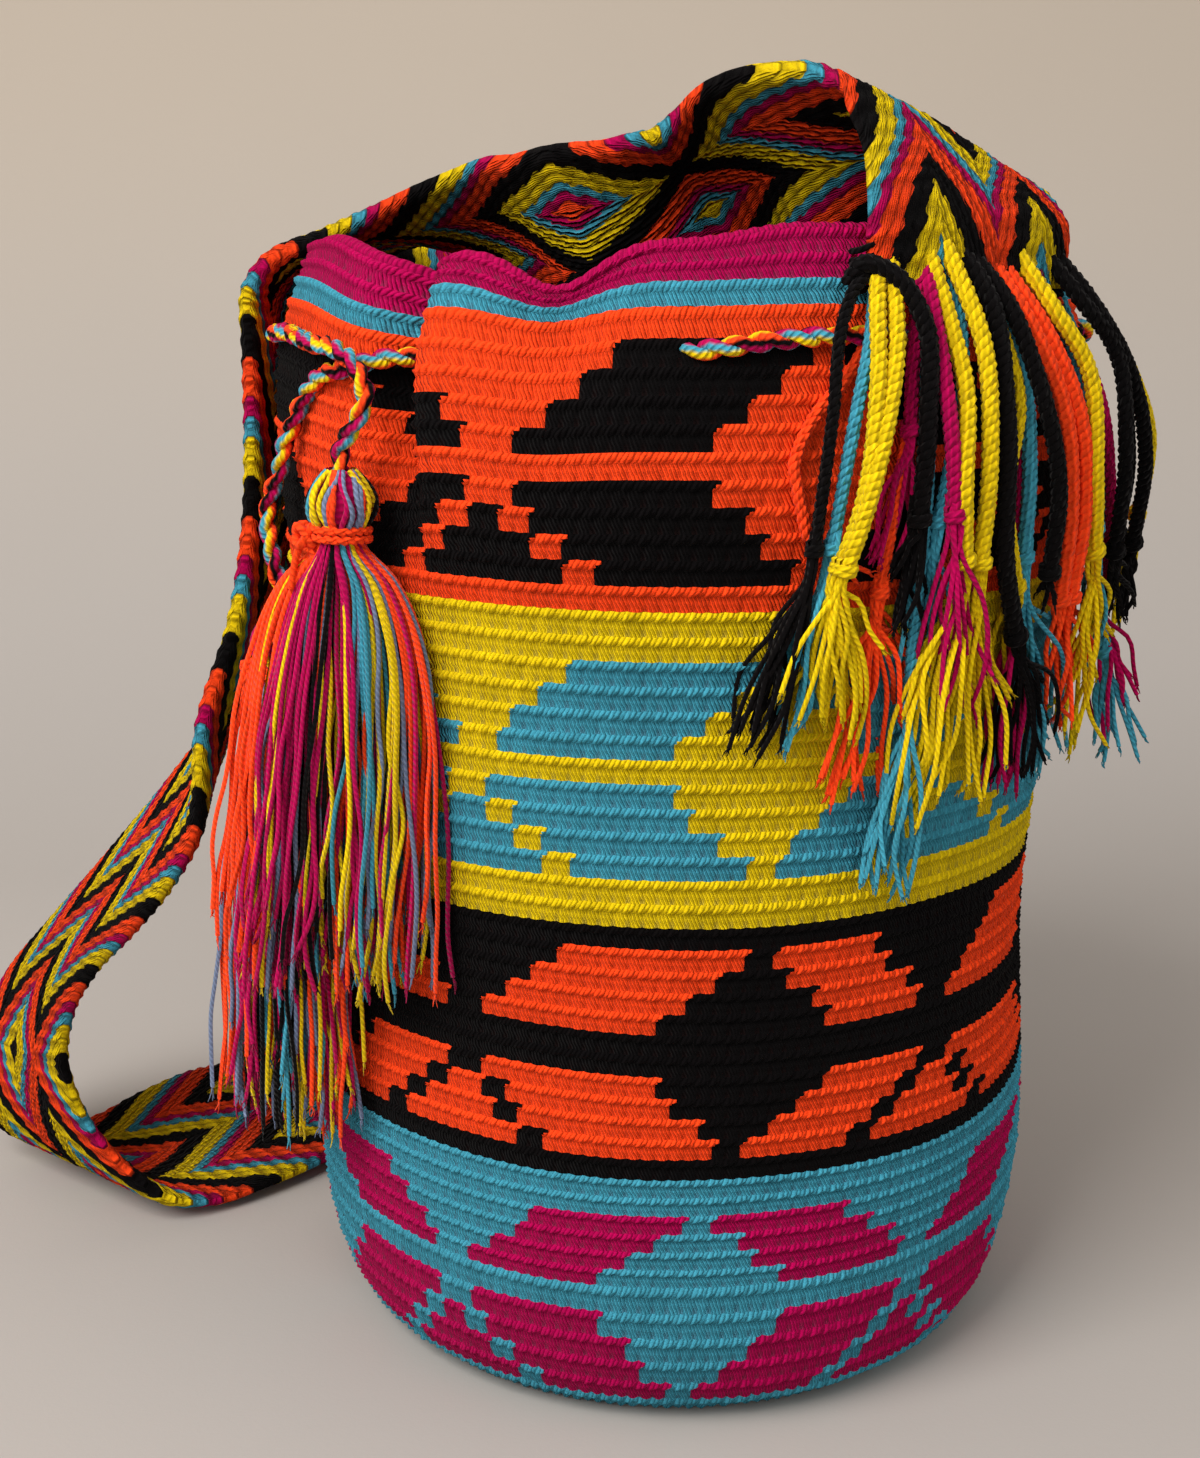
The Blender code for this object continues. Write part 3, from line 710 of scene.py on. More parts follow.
def yarn_at(row, angle):
    """Yarn of each stitch: hourglasses and lozenges between full rows, five times round."""
    if row < 3:
        return np.full(angle.shape, "magenta", dtype=object)
    if row < 4:
        return np.full(angle.shape, "blue", dtype=object)
    first, ground, figure, upper, lower, lozenge, shift = [band for band in BANDS if row >= band[0]][-1]
    result = np.full(angle.shape, ground, dtype=object)
    pitch = 360 / REPEATS
    middle = -20.5 - 0.29 * row + shift
    off = (angle - middle + pitch / 2) % pitch - pitch / 2
    side = (angle - middle - lozenge + pitch / 2) % pitch - pitch / 2
    if row < 15:
        # Beside the pleat's valley the lozenge is drawn to the right
        side = np.where((angle > -80) & (angle < -38), side - 5, side)
    if upper <= row < upper + 4:
        k = row - upper
        held = (np.abs(off) < (13, 10, 6, 3)[k]) | (np.abs(side) < LOZENGE[k])
        result[~held] = figure
    elif lower <= row < lower + 4:
        k = row - lower
        held = np.abs(side) < LOZENGE[3 - k]
        if k == 0:
            held |= np.abs(off) < 3
        else:
            held |= np.abs(np.abs(off) - (0, 4.6, 8.5, 12.3)[k]) < 2
        result[~held] = figure
    return result


CARRIED = {"orange": "black", "black": "orange", "yellow": "blue", "blue": "magenta", "magenta": "blue"}


def wall_place(angle, z, height, inset=0.0):
    """Places on the wall, whose pleat folds over: its right side bulges to the left, over the valley."""
    high = ease(BAG_HEIGHT - PLEAT_HEIGHT, BAG_HEIGHT - 0.012, z)
    beside = turn(angle - PLEAT_ANGLE)
    depth = PLEAT_DEPTH * ease(BAG_HEIGHT - PLEAT_HEIGHT, BAG_HEIGHT, z)
    valley = np.exp(-((beside / np.where(beside < 0, 7.5, 3.0)) ** 2))
    over = 2.9 * high * np.exp(-(((beside - 5) / np.where(beside < 5, 2.6, 6)) ** 2))
    lip = 0.0016 * high * np.exp(-(((beside - 6) / 4) ** 2))
    radius = wall_radius(z) - depth * valley + lip - inset
    around = np.radians(angle - over)
    return np.stack([radius * np.sin(around), -radius * np.cos(around), height + 0 * radius], -1)


def rim_lift(angle):
    """The rim's waves, with the front dip a little further left than in the solids."""
    dip = np.exp(-(((turn(angle) + 17.2) / 8) ** 2)) - np.exp(-(((turn(angle) + 15) / 8) ** 2))
    return lift(angle, np.full(np.shape(angle), BAG_HEIGHT)) - 0.0105 * dip


def pleat_drop(angle):
    """How far the rows come down towards the pleat's valley, mostly from its left."""
    beside = turn(angle - PLEAT_ANGLE + 1)
    return 0.0088 * np.exp(-((beside / np.where(beside < 0, 17, 3.6)) ** 2)) * ease(-60, -30, beside)


def crochet_wall(name, first, last, fine, tall, depth, look, inner=False, replaces=()):
    """Rows first to last of the wall, each stitch with its slanting chain and its legs."""
    columns = STITCHES * fine
    levels = (last - first) * tall + 1
    u = np.arange(columns) / fine
    v = first + np.arange(levels) / tall
    angle = np.broadcast_to(u * 360 / STITCHES - 180, (levels, columns))
    rows = np.broadcast_to(v[:, None], (levels, columns))
    # The waves of the rim are taken up by its first rows
    shift = rim_lift(angle)
    height = row_heights(rows) + shift * np.interp(rows, (1, 3, 5, 15), (1, 0.25, 0.12, 0))
    front = np.minimum(shift, 0) * ease(-30, -23, turn(angle)) * ease(-20, 10, -turn(angle))
    height = height + front * np.interp(rows, (1, 3, 4, 6, 15), (0, 0.33, 0.18, 0.08, 0))
    height = height - pleat_drop(angle) * np.interp(rows, (1, 3, 6, 14), (0.75, 1, 0.8, 0))
    z = height
    for _ in range(4):
        z = height - lift(angle, z)
    soft = 0.0005 * np.sin(radians(1) * angle * 3 + z * 60) + 0.0004 * np.sin(radians(1) * angle * 7 - z * 45)
    inset = -soft * np.clip(z / 0.05, 0, 1)
    if inner:
        inset = inset + WALL + 0.0001
        height = BASE_THICKNESS + height * (1 - BASE_THICKNESS / BAG_HEIGHT)
    points = wall_place(angle, z, height, inset)
    normals = grid_normals(points, True)
    if np.mean(normals[..., 0] * points[..., 0] + normals[..., 1] * points[..., 1]) < 0:
        normals = -normals
    if inner:
        normals = -normals
    wave = 0.06 * np.sin(u * 2.4 + rows * 1.7) + 0.05 * np.sin(u * 0.77 - rows * 2.9)
    q = np.clip(rows - np.floor(rows) + 0 * wave, 0, 1)
    stroke = np.sin(pi * ((u + wave + LEAN * q) % 1.0))
    arch = np.sqrt(np.clip(1 - ((q - 0.17) / 0.23) ** 2, 0, 1))
    legs = np.sin(pi * ((u + wave) % 1.0)) ** 0.4
    belly = np.sin(pi * np.clip((q - 0.28) / 0.76, 0, 1)) ** 0.7
    rise = np.maximum(arch * (0.66 + 0.60 * stroke), belly * (0.42 + 0.38 * legs))
    jitter = RNG.normal(0, 0.05, (last - first + 1, STITCHES))
    rise = rise * (1 + jitter[np.floor(rows - first).astype(int), np.floor(u).astype(int) % STITCHES])
    moved = points + normals * (depth * rise)[..., None]
    faces = grid_faces(levels, columns, True)
    if not inner:
        faces = faces[:, ::-1]
    # The colour of each face, which leans with the chain at a row's top, with painted shade under the chain, along the
    # row's foot and in the gaps between the legs
    uc = (np.arange(columns) + 0.5) / fine
    vc = first + (np.arange(levels - 1) + 0.5) / tall
    tint = np.zeros((levels - 1, columns, 3))
    for i, place in enumerate(vc):
        row = int(place)
        part = place - row
        stitch = np.floor(uc - max(0.0, CHAIN - part) * 1.5)
        names = yarn_at(row, (stitch + 0.5) * 360 / STITCHES - 180)
        across = (uc % 1.0)
        # Gap marks the gaps between the legs: the carried yarn shows there in its own colour, taken at half brightness
        # as painted shade, and the gaps are darkened a further 35% as painted shade
        gap = np.clip(3.0 * np.abs(across - 0.5) * 2 - 2.0, 0, 1) * float(np.clip((part - 0.6) / 0.3, 0, 1))
        # Painted shade: the colour darkens by half in a band just under the chain, where the chain's shadow falls, and
        # by 35% along the row's foot
        painted_groove_shade = 1 - 0.50 * float(np.exp(-(((part - 0.42) / 0.07) ** 2))) - 0.35 * float(part > 0.93)
        for yarn in set(names):
            here = names == yarn
            other = np.array(YARNS[CARRIED[yarn]]) * 0.5
            mix = (gap * (0.015 if yarn == "black" else 0.25))[here][:, None]
            tint[i, here] = (np.array(YARNS[yarn]) * (1 - mix) + other * mix) * painted_groove_shade * (1 - 0.35 * gap[here][:, None])
    shades = 1 + RNG.normal(0, 0.045, (last - first, STITCHES))
    tint *= shades[np.floor(vc - first).astype(int)[:, None], np.floor(uc).astype(int)[None, :]][..., None]
    tints = np.repeat(np.clip(tint, 0, 1).reshape(-1, 3), 4, axis=0)
    whole = np.stack([np.broadcast_to(np.arange(columns + 1) / fine, (levels, columns + 1)),
                      np.broadcast_to(v[:, None], (levels, columns + 1))], -1)
    a, b = whole[:-1, :-1], whole[1:, :-1]
    c, d = whole[1:, 1:], whole[:-1, 1:]
    quads = np.stack([a, b, c, d], 2).reshape(-1, 4, 2)
    if not inner:
        quads = quads[:, ::-1]
    # A row's last level belongs to it, not to the next one
    cells = np.repeat(np.broadcast_to(np.floor(vc)[:, None], (levels - 1, columns)).reshape(-1), 4)
    flat = quads.reshape(-1, 2).copy()
    flat[:, 1] = np.minimum(flat[:, 1], cells + 0.999)
    return new_piece(name, moved.reshape(-1, 3), faces, look, flat, tints, replaces)


def build_rim(look):
    """The rim's crest: the last chains, leaning over from the outer wall to the inner one."""
    fine = 6
    columns = STITCHES * fine
    u = np.arange(columns) / fine
    angle = u * 360 / STITCHES - 180
    z = np.full(columns, BAG_HEIGHT)
    height = z + rim_lift(angle) - 0.75 * pleat_drop(angle)
    levels = 9
    points, phase = [], []
    for k in range(levels):
        turned = pi * k / (levels - 1)
        swell = 0.0005 + 0.0004 * np.sin(pi * ((u - 0.9 * k / levels) % 1.0))
        half = WALL / 2 + swell
        up = height - 0.0006 + half * sin(turned) * 0.95
        points.append(wall_place(angle, z, up, WALL / 2 - half * cos(turned)))
        phase.append(np.full(columns, 0.02 + 0.3 * k / levels))
    points = np.array(points)
    faces = grid_faces(levels, columns, True)
    uvs = np.stack([np.broadcast_to(u, (levels, columns)), np.array(phase)], -1).reshape(-1, 2)
    # Painted shade in the grooves between the chain's links, down to 72% of the magenta
    rim_groove_shade = 0.72 + 0.28 * np.sin(pi * ((u[None] - 0.9 * np.arange(levels)[:, None] / levels) % 1.0))
    tints = (np.array(YARNS["magenta"]) * rim_groove_shade[..., None]).reshape(-1, 3)
    return new_piece("body_rim", points.reshape(-1, 3), faces, look, uvs, tints)


def build_base(look):
    """Rounds of the base, under the bag and inside it."""
    columns = 240
    pieces = []
    for name, z, outer, up in (
        ("body_base_under", 0.0004, float(wall_radius(0.0)) + 0.0006, -1),
        ("body_base_inside", BASE_THICKNESS, float(wall_radius(0.0)) + 0.001, 1),
    ):
        rounds = 15
        levels = rounds * 4 + 1
        share = np.linspace(0.002, 1, levels)
        angle = np.linspace(0, 2 * pi, columns, endpoint=False)
        ridge = np.abs(np.sin(pi * share * rounds)) ** 0.6
        bumps = 0.6 + 0.4 * np.abs(np.sin(angle[None] * 45 + share[:, None] * 40))
        high = z + up * 0.0 + (ridge[:, None] * bumps - 1.0) * (0.0009 if up > 0 else -0.0) + np.zeros((levels, columns))
        if up < 0:
            high = 0.0002 + 0.0009 * (1 - ridge[:, None] * bumps) + 0.0014 * share[:, None] ** 12
        r = outer * share
        points = np.stack([r[:, None] * np.sin(angle), -r[:, None] * np.cos(angle), high], -1)
        faces = grid_faces(levels, columns, True)
        if up > 0:
            faces = faces[:, ::-1]
        uvs = np.stack(
            [np.broadcast_to(angle / (2 * pi) * STITCHES, (levels, columns)),
             np.broadcast_to((share * rounds)[:, None], (levels, columns))], -1).reshape(-1, 2)
        # Painted shade between the rounds' ridges, down to 75% of the blue
        tints = (np.array(YARNS["blue"]) * (0.75 + 0.25 * ridge[:, None] * bumps)[..., None]).reshape(-1, 3)
        pieces.append(new_piece(name, points.reshape(-1, 3), faces, look, uvs, tints))
    return pieces


# The strap


def strap_lines(rows):
    """Middle, width, outward direction, curl and weave phase of the band at even steps."""
    stations = strap_stations()
    gaps = np.linalg.norm(np.diff(stations[:, :3], axis=0), axis=1)
    knots = np.r_[0, np.cumsum(gaps**0.7)]
    phase = list(WEAVE_FRONT)
    turned = WEAVE_TURN
    far = np.sum(gaps[len(phase) - 1 : turned])
    goal = round((phase[-1] + far / WEAVE_STEP - 7) / 8) * 8 + 7
    for i in range(len(phase), turned + 1):
        phase.append(phase[-1] + gaps[i - 1] * (goal - WEAVE_FRONT[-1]) / far)
    for i in range(turned + 1, len(stations)):
        phase.append(phase[-1] - gaps[i - 1] / WEAVE_STEP)
    fine = np.linspace(0, knots[-1], 8000)
    run = np.r_[0, np.cumsum(np.linalg.norm(np.diff(spline(knots, stations[:, :3], fine), axis=0), axis=1))]
    at = np.interp(np.linspace(0, run[-1], rows), run, fine)
    line = spline(knots, stations, at)
    travel = spline(knots, stations[:, :3], at + 1e-4) - spline(knots, stations[:, :3], at - 1e-4)
    travel /= np.linalg.norm(travel, axis=1)[:, None]
    width = line[:, 3:6] / np.linalg.norm(line[:, 3:6], axis=1)[:, None]
    outward = np.cross(width, travel)
    outward /= np.linalg.norm(outward, axis=1)[:, None]
    return line[:, :3], width, outward, line[:, 6], np.interp(at, knots, phase), run[-1]


TRI_DEPTH = 6.0


def build_strap(look):
    rows, columns = 720, 65
    middle, width, outward, curl, phase, length = strap_lines(rows)
    share = np.linspace(0, 1, columns)
    tri = 1 - np.abs((share * 4) % 2 - 1)
    weave = phase[:, None] - TRI_DEPTH * tri[None, :]
    off = (share - 0.5) * STRAP_WIDTH
    safe = np.where(np.abs(curl) < 0.05, 0.05, curl)[:, None]
    bend = safe * off[None, :]
    spot = (
        middle[:, None]
        + width[:, None] * (np.sin(bend) / safe)[..., None]
        - outward[:, None] * ((1 - np.cos(bend)) / safe)[..., None]
    )
    facing = outward[:, None] * np.cos(bend)[..., None] + width[:, None] * np.sin(bend)[..., None]
    rib = 1 - np.abs((weave % 1.0) * 2 - 1) ** 2.6
    link = 0.5 + 0.5 * np.sin(2 * pi * (share[None] * 23 + (weave % 1.0) * 0.9))
    relief = 0.0011 * rib * (0.55 + 0.45 * link)
    edge = np.sqrt(np.clip(1 - (np.clip(np.abs(2 * share - 1) - 0.90, 0, 1) / 0.105) ** 2, 0, 1))
    thick = STRAP_THICKNESS / 2 * (0.25 + 0.75 * edge)[None, :] - 0.00035
    outer = spot + facing * (thick + relief * edge[None])[..., None]
    inner = spot - facing * (thick + relief * edge[None])[..., None]
    ring = np.concatenate([outer, inner[:, ::-1]], 1)
    weaves = np.concatenate([weave, weave[:, ::-1]], 1)
    shares = np.concatenate([share, share[::-1]])
    uvs = np.stack([np.broadcast_to(shares, weaves.shape), weaves], -1).reshape(-1, 2)
    faces = grid_faces(rows, 2 * columns, True)
    caps = []
    for start in (0, (rows - 1) * 2 * columns):
        for k in range(columns - 1):
            quad = [start + k, start + k + 1, start + 2 * columns - 2 - k, start + 2 * columns - 1 - k]
            caps.append(quad if start else quad[::-1])
    faces = np.concatenate([faces[:, ::-1], np.array(caps)])
    obj = new_piece("strap_band", ring.reshape(-1, 3), faces, look, uvs, None, ("strap",))
    return obj, length


# Cord, tassels and fringes


def rope_colors(name):
    return YARNS[name]


def lace_tints():
    return [YARNS["yellow"], YARNS["orange"]]


def strand_cord(yarns, points, radius, pitch, step=0.001, start=0):
    """The drawstring: two thick plies, whose yarns take turns on top in five colours."""
    line, run = resample(points, step)
    along, side, other = frames(line)
    fine = radius * 0.56
    offset = radius - fine
    order = ["yellow", "blue", "magenta", "black", "orange"]
    sides = 10
    for k in range(2):
        turned = 2 * pi * (run / pitch + k / 2)
        shift = np.cos(turned)[:, None] * side + np.sin(turned)[:, None] * other
        middle = line + offset * shift
        around = np.linspace(0, 2 * pi, sides + 1)
        _, s2, o2 = frames(middle)
        ring = np.cos(around)[None, :, None] * s2[:, None] + np.sin(around)[None, :, None] * o2[:, None]
        wave = 1 + 0.10 * np.sin(around[None, :] * 3 + 2 * pi * run[:, None] / (pitch * 0.7))
        verts = middle[:, None] + (fine * wave)[..., None] * ring
        pick = np.floor(5 * ((around[None, :] / (2 * pi) + run[:, None] / (pitch * 1.6) + k * 0.3) % 1.0)).astype(int) % 5
        palette = np.array([YARNS[name] for name in order])
        yarns.verts.append(verts.reshape(-1, 3))
        yarns.faces.append(grid_faces(len(line), sides + 1)[:, ::-1] + yarns.count)
        share = np.broadcast_to(around / (2 * pi), pick.shape)
        yarns.uvs.append(np.stack([share, np.broadcast_to(run[:, None], pick.shape)], -1).reshape(-1, 2))
        yarns.tints.append(palette[pick].reshape(-1, 3))
        yarns.count += verts.shape[0] * verts.shape[1]


def fray(yarns, tip, direction, tint, count=3, length=0.0028, radius=0.0003, spread=0.16):
    """Loose fibres at a cut end."""
    for _ in range(count):
        way = Vector(direction).normalized() + Vector(RNG.normal(0, spread, 3))
        way.normalize()
        reach = length * RNG.uniform(0.5, 1.1)
        bow = Vector(RNG.normal(0, 0.0002, 3))
        points = [Vector(tip), Vector(tip) + way * reach * 0.5 + bow, Vector(tip) + way * reach]
        line, _ = resample(points, reach / 4)
        yarns.tube(line, np.linspace(radius, radius * 0.4, len(line)), 3, tint)


THREADS = (
    ("orange", "grey", "orange", "orange", "magenta", "yellow", "magenta", "magenta", "grey", "magenta", "magenta")
    + ("black", "black", "black", "yellow", "orange", "yellow", "blue", "magenta", "yellow", "blue", "magenta")
    + ("grey", "magenta", "yellow", "yellow", "orange")
)


# Tassels: how the skirt leans on its way down, the way that it spreads, its length, half width and half depth
FRONT_TASSEL = ((-0.009, 0.004, 0.0), (-0.97, 0.22, 0.0), 0.123, 0.0262, 0.009)
BACK_TASSEL = ((-0.003, -0.002, 0.0), (-0.9, 0.42, 0.0), 0.130, 0.0185, 0.0075)


def tassel_middle(top, lean, length, down):
    return top - Vector((0, 0, SEAT_GAP + down)) + Vector(lean) * (down / length) ** 1.3


def build_tassel(name, top, shape, count, look, tie_look, seed):
    """Yarns doubled over the cord's end: a round head, a bound neck and a skirt of loose threads."""
    rng = np.random.default_rng(seed)
    lean, spread, length, reach, depth = shape
    spread = Vector(spread).normalized()
    across = spread.cross(Vector((0, 0, 1)))
    head = TASSEL_HEAD_LENGTH
    neck = head + TIE_THICKNESS * 0.5

    def middle(down):
        return tassel_middle(top, lean, length, down)

    skirt = Yarns()
    crown = Yarns()
    thread = 0.00062
    rounds = 30
    for k in range(rounds):
        turned = 2 * pi * (k + 0.35 * rng.random()) / rounds
        tint = YARNS[THREADS[int(rng.integers(len(THREADS)))]]
        tint = np.clip(np.array(tint) * rng.uniform(0.85, 1.12), 0, 1)
        line = []
        wander, loose = rng.normal(0, 0.22), rng.uniform(0.0, 0.0009)
        first = turned - wander
        for share in np.linspace(0, 1, 11):
            down = head * share
            turned = first + wander * share + 0.10 * sin(7 * share + k)
            wide = TASSEL_HEAD_RADIUS * (0.10 + 0.90 * sin(pi * min(0.98, 0.10 + share * 0.72)) ** 0.75)
            if share > 0.75:
                wide = TASSEL_HEAD_RADIUS * 0.92 + (TASSEL_NECK_RADIUS - TASSEL_HEAD_RADIUS * 0.92) * (share - 0.75) * 4
            line.append(middle(down) + (cos(turned) * spread + sin(turned) * across) * (wide - thread * 0.6 + loose * sin(pi * share)))
        line.append(middle(neck) + (cos(turned) * spread + sin(turned) * across) * (TASSEL_NECK_RADIUS - thread))
        smooth, _ = resample(line, 0.0014)
        crown.tube(smooth, thread * 1.12, 6, tint)
    fill = []
    for share in np.linspace(0, 1, 9):
        fill.append(middle(head * share))
    sizes = TASSEL_HEAD_RADIUS * 0.86 * np.sin(np.pi * np.clip(np.linspace(0.08, 0.86, 9), 0, 1)) ** 0.7
    crown.tube(np.array([tuple(p) for p in fill]), sizes, 14, YARNS["magenta"])
    for k in range(count):
        turned = 2 * pi * rng.random()
        ring = rng.random() ** 0.45
        spot = (1 - ring * cos(turned)) / 2 * len(THREADS) + rng.normal(0, 2.3)
        tint = np.array(YARNS[THREADS[int(np.clip(spot, 0, len(THREADS) - 1))]]) * rng.uniform(0.85, 1.12)
        tint = np.clip(tint, 0, 1)
        ends = length * rng.uniform(0.84, 1.06)
        drift = rng.normal(0, 0.004, 2)
        waves = rng.normal(0, 0.0008, (2, 3))
        phases = rng.uniform(0, 2 * pi, (2, 3))
        points = [middle(head * 0.9) + (cos(turned) * spread + sin(turned) * across) * TASSEL_NECK_RADIUS * ring * 0.7]
        for share in np.linspace(0, 1, 12):
            down = neck + 0.001 + (ends - neck) * share
            wide = TASSEL_NECK_RADIUS + (reach - TASSEL_NECK_RADIUS) * (1 - exp(-6.5 * share)) * (0.93 + 0.07 * share)
            thick = TASSEL_NECK_RADIUS + (depth - TASSEL_NECK_RADIUS) * float(ease(-0.1, 0.5, share))
            a = ring * wide * cos(turned) + drift[0] * share
            b = ring * thick * sin(turned) + drift[1] * share * 0.4
            for j in range(3):
                a += share * waves[0, j] * sin(2 * pi * (j + 0.7) * share + phases[0, j])
                b += share * waves[1, j] * 0.6 * sin(2 * pi * (j + 0.7) * share + phases[1, j])
            spot = middle(min(down, length)) - Vector((0, 0, max(0.0, down - length))) + spread * a + across * b
            radius = max(float(wall_radius(min(max(spot.z, 0), BAG_HEIGHT))) + 0.0016, 0.0)
            level = Vector((spot.x, spot.y, 0))
            if level.length < radius:
                level = level.normalized() * radius
                spot = Vector((level.x, level.y, spot.z))
            points.append(spot)
        line, _ = resample(points, 0.0030)
        skirt.tube(line, thread, 5, tint, rng.random())
        direction = Vector(line[-1]) - Vector(line[-3])
        fray(skirt, line[-1], direction, tint, 3, 0.004)
    inner = TASSEL_NECK_RADIUS + SEAT_GAP
    tie = Yarns()
    centre = middle(neck) + Vector((0, 0, TIE_THICKNESS * 0.45))
    turns = []
    for t in np.linspace(0.0, 2.0, 60):
        turned = 2 * pi * t
        out = inner + TIE_THICKNESS * 0.45
        up = TIE_THICKNESS * (t - 1.0) * 0.78
        turns.append(centre + out * (cos(turned) * spread + sin(turned) * across) + Vector((0, 0, up)))
    smooth, _ = resample(turns, 0.0011)
    tie.cord([tuple(p) for p in smooth], TIE_THICKNESS * 0.44, 0.0045, [YARNS["orange"]], step=0.0009, sides=6)
    front = (across if (across.y < 0) else -across)
    knot = centre + (inner + TIE_THICKNESS * 1.1) * (front * 0.45 + spread * 0.9).normalized()
    loops = []
    for t in np.linspace(0, 1, 26):
        turned = 2 * pi * t
        loops.append(
            knot
            + spread * 0.0021 * cos(turned * 2)
            + Vector((0, 0, 0.0024 * sin(turned * 3)))
            + front * (0.0016 * sin(turned * 2))
        )
    tie.tube(resample(loops, 0.0009)[0], 0.0011, 6, YARNS["orange"])
    for side in (-1, 1):
        tail = [knot, knot + Vector((0, 0, -0.004)) + spread * 0.002 * side, knot + Vector((0, 0, -0.013)) + spread * 0.004 * side]
        tie.tube(resample(tail, 0.0015)[0], 0.0009, 5, YARNS["orange"])
    return (
        crown.piece(name + "_head", look, "tassel_yarn", (name,)),
        skirt.piece(name + "_threads", look, "tassel_yarn", (name,)),
        tie.piece(name + "_binding", tie_look, "tie_yarn", (name + "_tie",)),
    )


